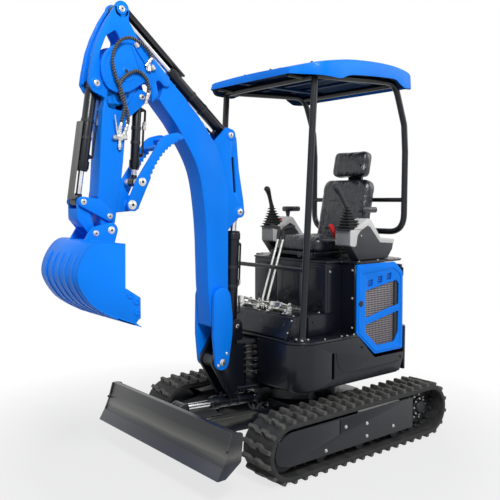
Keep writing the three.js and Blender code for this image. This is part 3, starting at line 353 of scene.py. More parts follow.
# one rubber in two copies: the lugs' lighter copy is painted light on the lugs, the belt's darker copy is
# painted shade in the hollows between them
shadedBeltRubber = trackRubber("shadedBeltRubber", rgb(0.008, 0.0085, 0.0095), rgb(0.03, 0.03, 0.029))
litLugRubber = trackRubber("litLugRubber", rgb(0.04, 0.04, 0.039), rgb(0.105, 0.102, 0.094))
vinyl = seatVinyl("vinyl")
charcoal = mouldedPlastic("charcoal", rgb(0.019, 0.0205, 0.026), 0.48)
midGrey = mouldedPlastic("midGrey", rgb(0.2, 0.2, 0.205), 0.48)
paleGrey = mouldedPlastic("paleGrey", rgb(0.56, 0.56, 0.55), 0.45)
bellows = mouldedPlastic("bellows", rgb(0.012, 0.012, 0.013), 0.55, 300)
redGrip = mouldedPlastic("redGrip", rgb(0.62, 0.008, 0.012), 0.3)
hoseRubber = mouldedPlastic("hoseRubber", rgb(0.012, 0.012, 0.013), 0.45, 700)
screen = grilleMesh("screen", rgb(0.24, 0.22, 0.23), rgb(0.012, 0.01, 0.016))
ventScreen = grilleMesh("ventScreen", rgb(0.002, 0.15, 0.66), rgb(0.002, 0.03, 0.14))
# the spiral guard is coloured light grey as painted glints; the guard itself is black
spiralGlint = mouldedPlastic("spiralGlint", rgb(0.16, 0.165, 0.17), 0.3, 700)


mm = 0.001
workSize = {"weld": 0.00002, "flatAngle": 0.8, "bevelAngle": 28, "smoothAngle": 38}
alongY = Vector((0, 1, 0))
alongX = Vector((1, 0, 0))
alongZ = Vector((0, 0, 1))


def labelOf(side):
    return "left" if side > 0 else "right"


def flank(side, first, last):
    # a span of Y values on one side of the machine, the lower one first
    return sorted((side * first, side * last))


def off(origin, x, y, z):
    # a point so many millimetres from another
    return origin + Vector((x, y, z)) * mm


def clear():
    bpy.ops.object.select_all(action="DESELECT")


def pick(*things):
    clear()
    for thing in things:
        thing.select_set(True)
    bpy.context.view_layer.objects.active = things[0]


def editMode(thing, choose="SELECT"):
    pick(thing)
    bpy.ops.object.mode_set(mode="EDIT")
    bpy.ops.mesh.select_mode(type="VERT")
    bpy.ops.mesh.select_all(action=choose)


def objectMode():
    bpy.ops.object.mode_set(mode="OBJECT")


def settle(thing):
    pick(thing)
    bpy.ops.object.transform_apply(location=True, rotation=True, scale=True)


def modify(thing, kind, **settings):
    pick(thing)
    bpy.ops.object.modifier_add(type=kind)
    modifier = thing.modifiers[-1]
    for key, value in settings.items():
        setattr(modifier, key, value)
    bpy.ops.object.modifier_apply(modifier=modifier.name)


def weld(thing, flatten=True):
    editMode(thing)
    bpy.ops.mesh.remove_doubles(threshold=workSize["weld"])
    if flatten:
        bpy.ops.mesh.dissolve_limited(angle_limit=radians(workSize["flatAngle"]))
    bpy.ops.mesh.normals_make_consistent(inside=False)
    objectMode()


def roundEdges(thing, width, segments=2, angle=workSize["bevelAngle"]):
    modify(thing, "BEVEL", width=width * mm, segments=segments, limit_method="ANGLE",
        angle_limit=radians(angle))


def smooth(thing):
    pick(thing)
    bpy.ops.object.shade_smooth_by_angle(angle=radians(workSize["smoothAngle"]))


def joined(things):
    things = [thing for thing in things if thing]
    pick(*things)
    if len(things) > 1:
        bpy.ops.object.join()
    return things[0]


def coat(thing, material):
    thing.data.materials.clear()
    thing.data.materials.append(material)
    return thing


def coatAll(things, material):
    for thing in things:
        coat(thing, material)


def copied(thing, move=(0, 0, 0)):
    twin = thing.copy()
    twin.data = thing.data.copy()
    bpy.context.collection.objects.link(twin)
    twin.location = move
    settle(twin)
    return twin


def mirrored(thing, axis=1):
    twin = copied(thing)
    twin.scale[axis] = -1
    settle(twin)
    editMode(twin)
    bpy.ops.mesh.normals_make_consistent(inside=False)
    objectMode()
    return twin


def finished(things, name, body, replaces=()):
    # joins the parts of a piece, names it and hangs it on its body
    things = things if isinstance(things, (list, tuple)) else [things]
    piece = joined(things)
    piece.name = name
    piece.data.name = name
    smooth(piece)
    if body:
        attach(piece, body)
    if replaces:
        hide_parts(*replaces)
    return piece


# outlines are lists of (x, z) in millimetres from the piece's own pivot

def rounded(points, radius, steps=4):
    ring = []
    for i, point in enumerate(points):
        here = Vector(point[:2])
        before = Vector(points[i - 1][:2]) - here
        after = Vector(points[(i + 1) % len(points)][:2]) - here
        size = point[2] if len(point) > 2 else radius
        half = before.angle(after) / 2
        if size <= 0 or half > radians(86):
            ring.append(tuple(here))
            continue
        reach = min(size / tan(half), 0.48 * before.length, 0.48 * after.length)
        first = here + before.normalized() * reach
        last = here + after.normalized() * reach
        for step in range(steps + 1):
            t = step / steps
            ring.append(tuple(first * (1 - t) ** 2 + here * (2 * t * (1 - t)) + last * t ** 2))
    return ring


def flow(points, steps=4):
    # a smooth run through the points
    points = [Vector(point) for point in points]
    ends = [points[0] * 2 - points[1]] + points + [points[-1] * 2 - points[-2]]
    run = []
    for a, b, c, d in zip(ends, ends[1:], ends[2:], ends[3:]):
        for step in range(steps):
            t = step / steps
            bend = (a * 2 - b * 5 + c * 4 - d) * t ** 2
            twist = (b * 3 - a - c * 3 + d) * t ** 3
            run.append(tuple(0.5 * (b * 2 + (c - a) * t + bend + twist)))
    run.append(tuple(points[-1]))
    return run


def arc(x, z, radius, start, end, steps=12):
    turns = [radians(start + (end - start) * i / steps) for i in range(steps + 1)]
    return [(x + radius * cos(turn), z + radius * sin(turn)) for turn in turns]


def circle(x, z, radius, steps=28):
    return arc(x, z, radius, 0, 360, steps)[:-1]


def band(discs, steps=36):
    # the outline of a belt pulled tight round discs
    cloud = [Vector(point) for x, z, radius in discs for point in circle(x, z, radius, steps)]
    return [tuple(cloud[i]) for i in convex_hull_2d(cloud)]


def plate(outline, low, high, origin, holes=(), edge=2.0, segments=2, flat=False):
    # a plate standing in the XZ plane between two Y values, or lying flat between two heights
    curve = bpy.data.curves.new("outline", "CURVE")
    curve.dimensions = "2D"
    curve.fill_mode = "BOTH"
    for ring in [outline, *holes]:
        spline = curve.splines.new("POLY")
        spline.points.add(len(ring) - 1)
        for point, place in zip(spline.points, ring):
            point.co = (place[0] * mm, place[1] * mm, 0, 1)
        spline.use_cyclic_u = True
    curve.extrude = (high - low) / 2 * mm
    thing = bpy.data.objects.new("plate", curve)
    bpy.context.collection.objects.link(thing)
    pick(thing)
    bpy.ops.object.convert(target="MESH")
    thing = bpy.context.object
    middle = (high + low) / 2 * mm
    thing.rotation_euler = (0, 0, 0) if flat else (pi / 2, 0, 0)
    thing.location = Vector(origin) + (alongZ if flat else alongY) * middle
    settle(thing)
    weld(thing)
    if edge:
        roundEdges(thing, edge, segments)
    return thing


def platePair(outline, inner, outer, origin, **settings):
    return [plate(outline, inner, outer, origin, **settings),
        plate(outline, -outer, -inner, origin, **settings)]


def block(low, high, edge=3.0, segments=2, origin=(0, 0, 0)):
    # a bar or block between two corners, its edges rounded
    low = Vector(low) * mm + Vector(origin)
    high = Vector(high) * mm + Vector(origin)
    bpy.ops.mesh.primitive_cube_add(size=1, location=(low + high) / 2)
    thing = bpy.context.object
    thing.scale = high - low
    settle(thing)
    roundEdges(thing, edge, segments)
    return thing


def turned(profile, start, axis, sides=28):
    # a part from the lathe: each step of the profile is (distance along, radius), in millimetres
    axis = Vector(axis).normalized()
    start = Vector(start)
    clear()
    turn = axis.to_track_quat("Z", "Y").to_euler()
    first, radius = profile[0]
    bpy.ops.mesh.primitive_circle_add(vertices=sides, radius=radius * mm, fill_type="NGON", rotation=turn,
                                      location=start + axis * first * mm, enter_editmode=True)
    for along, size in profile[1:]:
        bpy.ops.mesh.extrude_region_move(TRANSFORM_OT_translate={"value": axis * (along - first) * mm})
        bpy.ops.transform.resize(value=(size / radius,) * 3, center_override=start + axis * along * mm)
        first, radius = along, size
    bpy.ops.mesh.select_all(action="SELECT")
    bpy.ops.mesh.normals_make_consistent(inside=False)
    objectMode()
    thing = bpy.context.object
    settle(thing)
    return thing


def sleeve(half, inner, outer, middle, axis, sides=28):
    # a turned part that is the same on both sides of its middle
    return turned([(-half, inner), (-half, outer), (half, outer), (half, inner)], middle, axis, sides)


def tube(points, radius, smoothRun=True, sides=12, caps=True):
    # a bar or hose of one thickness along a run of points in metres
    curve = bpy.data.curves.new("run", "CURVE")
    curve.dimensions = "3D"
    curve.bevel_depth = radius * mm
    curve.bevel_resolution = max(1, sides // 4 - 1)
    curve.use_fill_caps = caps
    run = [tuple(p) for p in points]
    if smoothRun:
        run = flow(run, 6)
    spline = curve.splines.new("POLY")
    spline.points.add(len(run) - 1)
    for point, place in zip(spline.points, run):
        point.co = (*place, 1)
    thing = bpy.data.objects.new("run", curve)
    bpy.context.collection.objects.link(thing)
    pick(thing)
    bpy.ops.object.convert(target="MESH")
    thing = bpy.context.object
    weld(thing, False)
    return thing


def elbowRun(points, radius, steps=6):
    # points of a bent tube: straight between its corners, each corner rounded, in metres
    points = [Vector(point) for point in points]
    run = [points[0]]
    for before, here, after in zip(points, points[1:], points[2:]):
        back = (before - here).normalized()
        on = (after - here).normalized()
        reach = min(radius * mm / tan(back.angle(on) / 2), 0.49 * (before - here).length,
            0.49 * (after - here).length)
        for step in range(steps + 1):
            t = step / steps
            first = (here + back * reach) * (1 - t) ** 2
            last = (here + on * reach) * t ** 2
            run.append(first + here * 2 * t * (1 - t) + last)
    run.append(points[-1])
    return run


boltMaster = {}


def bolt(place, axis, size=9, material=None):
    # a hexagon head on a washer; one of each size is modelled and the rest are copies
    axis = Vector(axis).normalized()
    if size not in boltMaster:
        washer = turned([(0, size * 0.9), (0, size * 1.25), (size * 0.18, size * 1.25),
            (size * 0.26, size * 1.15)], (0, 0, 0), alongZ, 16)
        head = turned([(size * 0.2, size * 0.85), (size * 0.2, size), (size * 0.75, size),
            (size * 0.9, size * 0.8)], (0, 0, 0), alongZ, 6)
        boltMaster[size] = joined([washer, head])
        boltMaster[size].name = "boltMaster"
    twin = boltMaster[size].copy()
    twin.data = twin.data.copy()
    bpy.context.collection.objects.link(twin)
    twin.rotation_euler = axis.to_track_quat("Z", "Y").to_euler()
    twin.location = place
    settle(twin)
    return coat(twin, material or zinc)


def pinHead(spot, axis, radius, high, material):
    # the visible end of a pin: a collar, the pin's own end, and the keeper bolt
    collar = turned([(-0.5, radius - 2), (high * 0.4, radius), (high * 0.4 + 1, radius - 2),
        (high * 0.5, radius * 0.72), (high, radius * 0.68), (high + 1, radius * 0.6),
        (high + 1, radius * 0.2)], spot, axis, 28)
    return [coat(collar, material), bolt(spot + axis * high * mm, axis, max(3, round(radius * 0.26)),
        ironPaint)]


def pin(origin, x, z, halfSpan, radius, head=8, material=None):
    # a pin right through a joint
    spot = Vector((origin.x + x * mm, 0, origin.z + z * mm))
    profile = [(-halfSpan, radius * 0.4), (-halfSpan, radius), (halfSpan, radius), (halfSpan, radius * 0.4)]
    parts = [coat(turned(profile, spot, alongY, 24), material or ironPaint)]
    for side in (-1, 1):
        parts += pinHead(spot + alongY * side * halfSpan * mm, alongY * side, radius + 2, head,
            material or ironPaint)
    return joined(parts)


def pinStubs(origin, x, z, inside, outside, radius, head=8, material=None):
    spot = Vector((origin.x + x * mm, 0, origin.z + z * mm))
    stubs = []
    for side in (-1, 1):
        stubs.append(coat(turned([(inside, radius * 0.4), (inside, radius), (outside, radius)], spot,
            alongY * side, 24), material or ironPaint))
        stubs += pinHead(spot + alongY * side * outside * mm, alongY * side, radius + 2, head,
            material or ironPaint)
    return stubs


def refined(node, material, edge=1.6, segments=2):
    # a welded or cast CAD node with its edges broken, as paint leaves them
    source = frame["nodes"][node]
    twin = source.copy()
    twin.data = source.data.copy()
    twin.parent = None
    bpy.context.collection.objects.link(twin)
    twin.matrix_world = source.matrix_world
    settle(twin)
    weld(twin)
    roundEdges(twin, edge, segments, 25)
    return coat(twin, material)


setCamera(cameraRig)
setLights(lampRig)

floorSize = {"width": 60, "colour": 0.4, "near": 1.2, "far": 2.4, "least": 0.74}
bpy.ops.mesh.primitive_plane_add(size=floorSize["width"], location=(0, 0, 0))
floor = bpy.context.object
floor.name = "studioFloor"
floorShader = Shader("studioFloor", Roughness=0.85, Specular_IOR_Level=0.05)
floorTone = floorShader.step(floorShader.noise(0.6, 2), 0.3, 0.7) * 0.01 + floorSize["colour"]
floorShader.feed("Base Color", floorTone)


def whitenFloor(shader, size):
    # what the camera and gloss see of the floor fades to plain white away from the machine
    tree = shader.tree
    white = tree.nodes.new("ShaderNodeEmission")
    white.inputs["Color"].default_value = (1, 1, 1, 1)
    seen = Value(shader, seenRays(tree))
    reach = shader.node("VectorMath", {"operation": "LENGTH"}, {0: shader.place()}, 1)
    share = shader.step(reach, size["near"], size["far"]) * (1 - size["least"]) + size["least"]
    mixShaders(tree, (seen * share).socket, shader.surface, white, tree.nodes["Material Output"])


whitenFloor(floorShader, floorSize)
coat(floor, floorShader.material)
print("floor laid")


trackSize = {
    "gauge": 505, "half": 115, "axle": 175, "halfBase": 600,
    "outer": 155, "inner": 129, "lug": 20, "lugs": 44, "lugEdge": 2.2, "lugTaper": (0.78, 0.97, 1),
    "lugCentre": -0.053,
}
ground = Vector((slewAxis.x, 0, 0))


def loopFrame(radius, along):
    # a place on the belt and its way outwards, at a distance along the loop
    halfBase = trackSize["halfBase"]
    axle = trackSize["axle"]
    straight = 2 * halfBase
    bend = pi * radius
    s = along % (2 * (straight + bend))
    if s < straight:
        return Vector((-halfBase + s, 0, axle + radius)), Vector((0, 0, 1))
    s -= straight
    if s < bend:
        turn = pi / 2 - s / radius
        out = Vector((cos(turn), 0, sin(turn)))
        return Vector((halfBase, 0, axle)) + out * radius, out
    s -= bend
    if s < straight:
        return Vector((halfBase - s, 0, axle - radius)), Vector((0, 0, -1))
    s -= straight
    turn = -pi / 2 - s / radius
    out = Vector((cos(turn), 0, sin(turn)))
    return Vector((-halfBase, 0, axle)) + out * radius, out


def loopOutline(radius, steps=20):
    halfBase = trackSize["halfBase"]
    axle = trackSize["axle"]
    return arc(halfBase, axle, radius, -90, 90, steps) + arc(-halfBase, axle, radius, 90, 270, steps)


def lugBlocks():
    # one pair of staggered, cranked lugs, modelled at the origin with +Z outwards
    lug = trackSize["lug"]
    cranked = [(-21, -112), (5, -112), (5, -62), (22, -34), (22, 6), (-2, 6), (-2, -24), (-21, -52)]
    first = plate(cranked, -3, lug, (0, 0, 0), flat=True, edge=0)
    editMode(first, "DESELECT")
    objectMode()
    for corner in first.data.vertices:
        corner.select = corner.co.z > 0.01
    pick(first)
    bpy.ops.object.mode_set(mode="EDIT")
    bpy.ops.transform.resize(value=trackSize["lugTaper"], center_override=(0, trackSize["lugCentre"],
        lug * mm))
    objectMode()
    roundEdges(first, trackSize["lugEdge"], 1)
    second = copied(first)
    second.scale = (-1, -1, 1)
    second.location = (0.004, 0, 0)
    settle(second)
    tooth = block((-11, -30, -trackSize["outer"] + trackSize["inner"] - 15),
        (11, 30, -trackSize["outer"] + trackSize["inner"] + 2), 4, 1)
    return joined([first, second]), tooth


def trackFor(side, lugMaster, toothMaster):
    size = trackSize
    centre = ground + alongY * side * size["gauge"] * mm
    belt = plate(loopOutline(size["outer"]), -size["half"], size["half"], centre,
        holes=[loopOutline(size["inner"])], edge=4)
    length = 2 * (2 * size["halfBase"] + pi * size["outer"])
    parts = [belt]
    for i in range(size["lugs"]):
        spot, out = loopFrame(size["outer"], (i + 0.25) * length / size["lugs"])
        turn = Matrix.Rotation(atan2(out.x, out.z), 4, "Y")
        for master in (lugMaster, toothMaster):
            twin = master.copy()
            twin.data = master.data.copy()
            bpy.context.collection.objects.link(twin)
            twin.matrix_world = Matrix.Translation(centre + spot * mm) @ turn
            # lugs take the lighter copy of the rubber, as painted light; teeth and belt take the darker copy,
            # as painted shade
            coat(twin, litLugRubber if master == lugMaster else shadedBeltRubber)
            parts.append(twin)
    pick(*parts)
    bpy.ops.object.transform_apply(location=True, rotation=True, scale=True)
    coat(belt, shadedBeltRubber)
    label = labelOf(side)
    return finished(parts, label + "TrackBelt", "undercarriage", [label + "_track"])


lugMaster, toothMaster = lugBlocks()
for side in (-1, 1):
    trackFor(side, lugMaster, toothMaster)
bpy.data.objects.remove(lugMaster)
bpy.data.objects.remove(toothMaster)
print("tracks laid")

frameSize = {
    "coverOuter": 89, "coverFront": 706, "coverRear": -440, "low": 93, "high": 281,
    "bolts": [(-250, 140), (-10, 205), (-10, 130), (170, 222), (330, 120)],
    "rollers": (-300, 20, 340),
}


def trackFrameFor(side):
    size = frameSize
    label = labelOf(side)
    centre = ground + alongY * side * trackSize["gauge"] * mm
    sideways = alongY * side
    parts = [coat(refined(label + "_track_frame", blackPaint, 1.2, segments=1), blackPaint)]
    outline = [(size["coverRear"], size["low"], 4), (600, size["low"], 60), (690, 120, 60),
        (size["coverFront"], 172, 60), (690, 235, 60), (600, size["high"], 60),
        (size["coverRear"], size["high"], 4)]
    slot = rounded([(213, 190), (222, 190), (222, 272), (213, 272)], 3, 2)
    face = size["coverOuter"]
    low, high = flank(side, face - 1, face + 4)
    skin = plate(rounded(outline, 10, 6), low, high, centre, holes=[slot], edge=2)
    parts.append(coat(skin, blackPaint))
    for x, z in size["bolts"]:
        parts.append(bolt(off(centre, x, 0, z) + sideways * (face + 4) * mm, sideways, 8))
    for x in size["rollers"]:
        spot = off(centre, x, 0, 82)
        parts.append(coat(turned([(-62, 20), (-62, 34), (-56, 36), (-30, 36), (-26, 30), (26, 30), (30, 36),
            (56, 36), (62, 34), (62, 20)], spot, alongY, 24), ironPaint))
    return finished(parts, label + "TrackFrame", "undercarriage", [label + "_track_frame"])


for side in (-1, 1):
    trackFrameFor(side)

sprocketSize = {"teeth": 15, "tip": 124, "root": 103, "holes": 7, "holeRing": 86, "hubBolts": (8, 53, 23),
    "rimBolts": (9, 76, 10)}


def sprocketFor(side):
    size = sprocketSize
    label = labelOf(side)
    centre = off(ground, -trackSize["halfBase"], side * trackSize["gauge"], trackSize["axle"])
    outline = []
    for i in range(size["teeth"]):
        for share, radius in ((0.1, size["root"] + 2), (0.25, size["root"]), (0.4, size["tip"] - 4),
                (0.46, size["tip"]), (0.6, size["tip"]), (0.66, size["tip"] - 4), (0.82, size["root"]),
                (0.95, size["root"] + 2)):
            turn = 2 * pi * (i + share) / size["teeth"]
            outline.append((radius * cos(turn), radius * sin(turn)))
    ring = size["holeRing"]
    turns = [2 * pi * i / size["holes"] for i in range(size["holes"])]
    holes = [circle(ring * cos(turn), ring * sin(turn), 13, 14) for turn in turns]
    wheel = plate(outline, -10, 10, centre, holes=holes, edge=2)
    out = alongY * side
    hub = turned([(8, 56), (8, 62), (12, 64), (22, 60), (24, 46), (36, 43), (42, 38), (44, 30), (44, 14)],
        centre, out, 36)
    motor = turned([(-50, 60), (-50, 74), (-12, 76), (-8, 60)], centre, out, 32)
    parts = [coat(wheel, ironPaint), coat(hub, ironPaint), coat(motor, blackPaint)]
    for (count, reach, lift), offset in ((size["hubBolts"], 0), (size["rimBolts"], 0.5)):
        for i in range(count):
            turn = 2 * pi * (i + offset) / count
            place = off(centre, cos(turn) * reach, 0, sin(turn) * reach) + out * lift * mm
            parts.append(bolt(place, out, 6))
    return finished(parts, label + "Sprocket", "undercarriage", [label + "_sprocket"])


def idlerFor(side):
    label = labelOf(side)
    centre = off(ground, trackSize["halfBase"], side * trackSize["gauge"], trackSize["axle"])
    profile = [(-57, 20), (-57, 40), (-31, 44), (-29, 96), (-41, 116), (-41, 124), (-38, 126), (-12, 126),
        (-10, 112), (10, 112), (12, 126), (38, 126), (41, 124), (41, 116), (29, 96), (31, 44), (57, 40),
        (57, 20)]
    wheel = turned(profile, centre, alongY, 48)
    return finished(coat(wheel, ironPaint), label + "Idler", "undercarriage", [label + "_idler"])


for side in (-1, 1):
    sprocketFor(side)
    idlerFor(side)
print("running gear done")

# the welded centre of the undercarriage
centre = refined("centre_frame", blackPaint, 2)
guards = [coat(block((-250, side * 300 - 30, 120), (250, side * 300 + 30, 128), 2, origin=ground),
    blackPaint) for side in (-1, 1)]
elbows = []
for y in (-60, 0, 60):
    run = [ground + Vector(p) * mm for p in ((300, y, 255), (345, y, 268), (375, y * 0.5 + 25, 232),
        (330, y * 0.3 + 95, 205), (240, y * 0.3 + 110, 230))]
    elbows.append(coat(tube(run, 9), hoseRubber))
    elbows.append(coat(turned([(0, 10), (0, 14), (22, 14), (24, 11), (40, 11)], run[0] - Vector((0.02, 0, 0)),
        alongX, 6), zinc))
finished([centre] + guards + elbows, "centreFrame", "undercarriage", ["centre_frame"])

# the slew ring takes the black paint: partly its own dark finish, partly painted shade under the deck
slewRing = turned([(0.4, 200), (0.4, 246), (4, 249.6), (20, 249.6), (24, 243), (30, 243), (34, 249.6),
    (64, 249.6), (69.4, 246), (69.4, 200)],
                  ground + Vector((0, 0, 0.350)), alongZ, 64)
finished(coat(slewRing, blackPaint), "slewRing", "undercarriage", ["slew_ring"])


bladeSize = {"half": 620, "foot": (595, -75), "top": (500, 137), "arm": 160, "eye": (400, 107)}


def bladePiece(size):
    fx, fz = size["foot"]
    tx, tz = size["top"]
    front = flow([(fx, fz), (fx - 33, fz + 50), (fx - 58, fz + 105), (fx - 78, fz + 160), (tx + 1, tz)], 4)
    back = [(x - 12, z + 2) for x, z in reversed(front[1:])] + [(fx - 15, fz)]
    lip = [(tx - 1, tz + 8), (tx - 34, tz + 8), (tx - 34, tz - 1), (tx - 10, tz - 3)]
    half = size["half"]
    board = plate(rounded(front + lip + back[1:], 1.5, 2), -half + 3, half - 3, bladePin, edge=1.5)
    edge = plate(rounded([(fx - 8, fz), (fx - 44, fz + 62), (fx - 36.5, fz + 63), (fx + 1, fz)], 1),
        -half + 4, half - 4, bladePin, edge=1)
    wing = rounded([(fx, fz, 3), (fx - 36, fz + 60, 40), (fx - 62, fz + 120, 40), (tx + 3, tz + 7, 6),
        (tx - 66, tz + 2, 20), (tx - 52, fz + 66, 20), (fx - 50, fz, 8)], 8)
    parts = [board, edge]
    parts += platePair(wing, half - 12, half, bladePin, edge=2)
    rib = rounded([(fx - 34, fz + 8), (fx - 82, fz + 112), (tx - 34, tz - 8), (tx - 60, tz - 10),
        (fx - 96, fz + 30)], 8)
    for y in (-470, -310, 300, 460):
        parts.append(plate(rib, y, y + 10, bladePin, edge=1.5))
    armLine = band([(0, 0, 45), (470, 27, 45)])
    for side in (-1, 1):
        y = side * size["arm"]
        parts.append(plate(armLine, y - 30, y + 30, bladePin, holes=[], edge=5, segments=3))
        for face in (-1, 1):
            parts.append(turned([(0, 30), (0, 36), (3, 36), (3.5, 30)], off(bladePin, 0, y + face * 26.5, 0),
                alongY * face, 28))
    parts.append(block((440, -160, -15), (508, 160, 45), 6, 3, bladePin))
    eye = band([(size["eye"][0], size["eye"][1], 30), (470, 67, 40)])
    parts += platePair(eye, 36, 50, bladePin, edge=2)
    coatAll(parts, bladePaint)
    parts += pinStubs(bladePin, *size["eye"], 36, 50, 14)
    for side in (-1, 1):
        for z, x in ((-20, -44), (60, -62)):
            parts.append(bolt(off(bladePin, fx + x, side * (half - 4), z), alongY * side, 5, blackPaint))
    return finished(parts, "dozerBlade", "blade", ["blade"])


bladePiece(bladeSize)
print("undercarriage done")


cylinderSize = {
    "boom": {"eye": off(boomPin, -157, 0, 865), "radius": 40, "length": 560, "base": 36, "half": 45,
             "rod": 20, "reach": 590, "side": 1},
    "arm": {"eye": off(armPin, 7, 0, 312), "radius": 32, "length": 500, "base": 32, "half": 46,
            "rodHalf": 36, "rod": 17, "reach": 505, "side": -1, "guard": (-490, 26, 47)},
    "bucket": {"eye": linkPin.copy(), "radius": 30, "length": 440, "base": 26, "half": 42, "rodHalf": 34,
               "rod": 15, "reach": 480, "side": -1, "guard": (-400, 24, 46)},
    "thumb": {"eye": off(thumbPin, -60, 0, 119), "radius": 24, "length": 376, "base": 24, "half": 28,
              "rod": 12, "reach": 385, "side": -1},
    "blade": {"eye": off(bladePin, 400, 0, 107), "radius": 34, "length": 330, "base": 30, "half": 38,
              "rodHalf": 34, "rod": 17, "reach": 380, "side": 1},
}


portSize = {"rise": 20, "near": 34, "far": 78}


def cylinderPiece(name, size):
    foot = pivot(name + "_ram_swing")
    eye = size["eye"]
    way = (eye - foot).normalized()
    out = Vector((-way.z, 0, way.x))  # across the cylinder, in its own plane
    r = size["radius"]
    length = size["length"]
    base = size["base"]
    half = size["half"]
    barrel = turned([(base * 0.62, r * 0.72), (base * 0.9, r * 0.9), (base + 4, r), (length - 52, r),
        (length - 50, r + 4.8), (length - 16, r + 4.8), (length - 12, r + 3.5), (length - 12, r + 1),
        (length - 4, r + 1), (length, r - 3), (length, size["rod"] + 4), (length - 3, size["rod"] + 1)], foot,
        way, 32)
    boss = turned([(-half, base * 0.62), (-half, base - 2), (-half + 2, base), (half - 2, base),
        (half, base - 2), (half, base * 0.62)], foot, alongY, 28)
    parts = [coat(barrel, blackPaint), coat(boss, blackPaint)]
    side = out * size["side"]
    rise = portSize["rise"]
    for reach in (base + portSize["near"], length - portSize["far"]):
        spot = foot + way * reach * mm + side * (r - 4) * mm
        parts.append(coat(turned([(0, 12), (rise / 2, 12), (rise / 2 + 1, 9), (rise, 9)], spot, side, 16),
            blackPaint))
    first = foot + way * (base + portSize["near"]) * mm + side * (r + rise - 6) * mm
    pipe = elbowRun([first, first + side * 0.012, first + side * 0.012 + way * 0.06], 14)
    parts.append(coat(tube(pipe, 6.5, False), blackPaint))
    parts.append(coat(turned([(0, 7), (0, 11), (16, 11), (18, 9), (26, 9), (26, 11), (40, 11), (42, 8)],
        pipe[-1], way, 6), zinc))
    far = foot + way * (length - portSize["far"]) * mm + side * (r + rise - 6) * mm
    back = elbowRun([far, far + side * 0.006, far + side * 0.006 - way * (length * 0.42) * mm], 12)
    parts.append(coat(tube(back, 6, False), blackPaint))
    parts.append(coat(turned([(0, 7), (0, 10.5), (18, 10.5), (20, 8), (34, 8)], back[-1] + way * 0.02, -way,
        6), zinc))
    for reach in (length * 0.42, length * 0.62):
        spot = foot + way * reach * mm
        parts.append(coat(sleeve(8, r - 1, r + 2.4, spot, way, 28), ironPaint))
    finished(parts, name + "Barrel", name + "_barrel", [name + "_cylinder_barrel"])

    rodHalf = size.get("rodHalf", half)
    rod = turned([(-size["reach"], size["rod"] - 2), (-size["reach"] + 2, size["rod"]),
        (-base * 0.8, size["rod"])], eye, way, 28)
    neck = turned([(-base - 16, size["rod"] - 1), (-base - 14, size["rod"] + 4), (-base + 2, base * 0.72),
        (-base * 0.5, base * 0.8)], eye, way, 24)
    head = turned([(-rodHalf, base * 0.62), (-rodHalf, base - 2), (-rodHalf + 2, base), (rodHalf - 2, base),
                   (rodHalf, base - 2), (rodHalf, base * 0.62)], eye, alongY, 28)
    parts = [coat(rod, chrome), coat(neck, blackPaint), coat(head, blackPaint)]
    if "guard" in size:
        rear, wide, high = size["guard"]
        guard = block((rear, -wide, high - 6), (-8, wide, high), 2)
        lips = [block((rear, y - 2, high - 14), (-8, y + 2, high - 3), 1.5) for y in (-wide + 2, wide - 2)]
        guardFoot = block((-30, -18, 10), (-8, 18, high - 2), 2)
        guard = joined([guard, guardFoot] + lips)
        guard.matrix_world = Matrix.Translation(eye) @ Matrix.Rotation(-atan2(way.z, way.x), 4, "Y")
        settle(guard)
        parts.append(coat(guard, greyPaint if name == "bucket" else blackPaint))
    finished(parts, name + "Rod", name + "_rod", [name + "_cylinder_rod"])


for name, size in cylinderSize.items():
    cylinderPiece(name, size)
print("cylinders done")


def up(x, y, z):
    return off(deckBase, x, y, z)


finished(refined("deck_frame", blackPaint, 3), "deckFrame", "upper", ["deck_frame"])

deckSize = {"half": 480, "front": 417, "rear": -490, "corner": 120, "wall": 20, "top": 270, "base": 10}


def deckOutline(inset, rear):
    size = deckSize
    w = size["half"] - inset
    f = size["front"] - inset
    c = size["corner"] - inset
    return [(rear, w)] + arc(f - c, w - c, c, 90, 0, 10) + [(f, 107)]


def carve(thing, cutter):
    # takes the cutter's shape out of a piece
    modify(thing, "BOOLEAN", object=cutter, operation="DIFFERENCE", solver="EXACT")
    bpy.data.objects.remove(cutter)


def skirtPiece(side):
    size = deckSize
    label = labelOf(side)
    ring = deckOutline(0, size["rear"]) + list(reversed(deckOutline(size["wall"], size["rear"])))
    wall = plate(ring, size["base"], size["top"], deckBase, flat=True, edge=0)
    step = [(-66, 300), (-66, 268), (-212, 126), (-500, 126), (-500, 300)]
    carve(wall, plate(step, 300, 600, deckBase, edge=0))
    carve(wall, plate([(-520, -20), (-520, 84), (-486, 84), (-436, -20)], 300, 600, deckBase, edge=0))
    groove = plate(rounded([(144, 47), (166, 47), (166, 203), (144, 203)], 8, 3), 440, 600, deckBase, edge=0)
    carve(wall, groove)
    weld(wall)
    roundEdges(wall, 7, 3, 40)
    line = flow([(128, 196), (118, 140), (84, 90), (30, 68), (-130, 62), (-300, 62), (-455, 66)], 6)
    ridge = line + [(x + 3, z + 7) for x, z in reversed(line)]
    swage = plate(ridge, 478, 482.5, deckBase, edge=1.6)
    sill = deckOutline(3, -436) + list(reversed(deckOutline(40, -436)))
    lip = plate(sill, 0, 26, deckBase, flat=True, edge=9, segments=4)
    parts = [wall, swage, lip]
    for x, z in ((-96, 206), (-462, 96)):
        parts.append(bolt(up(x, 480, z), alongY, 7, blackPaint))
    if side < 0:
        piece = joined(parts)
        parts = [mirrored(piece)]
        bpy.data.objects.remove(piece)
    coatAll(parts, blackPaint)
    return finished(parts, label + "Skirt", "upper", [label + "_skirt"])


for side in (-1, 1):
    skirtPiece(side)


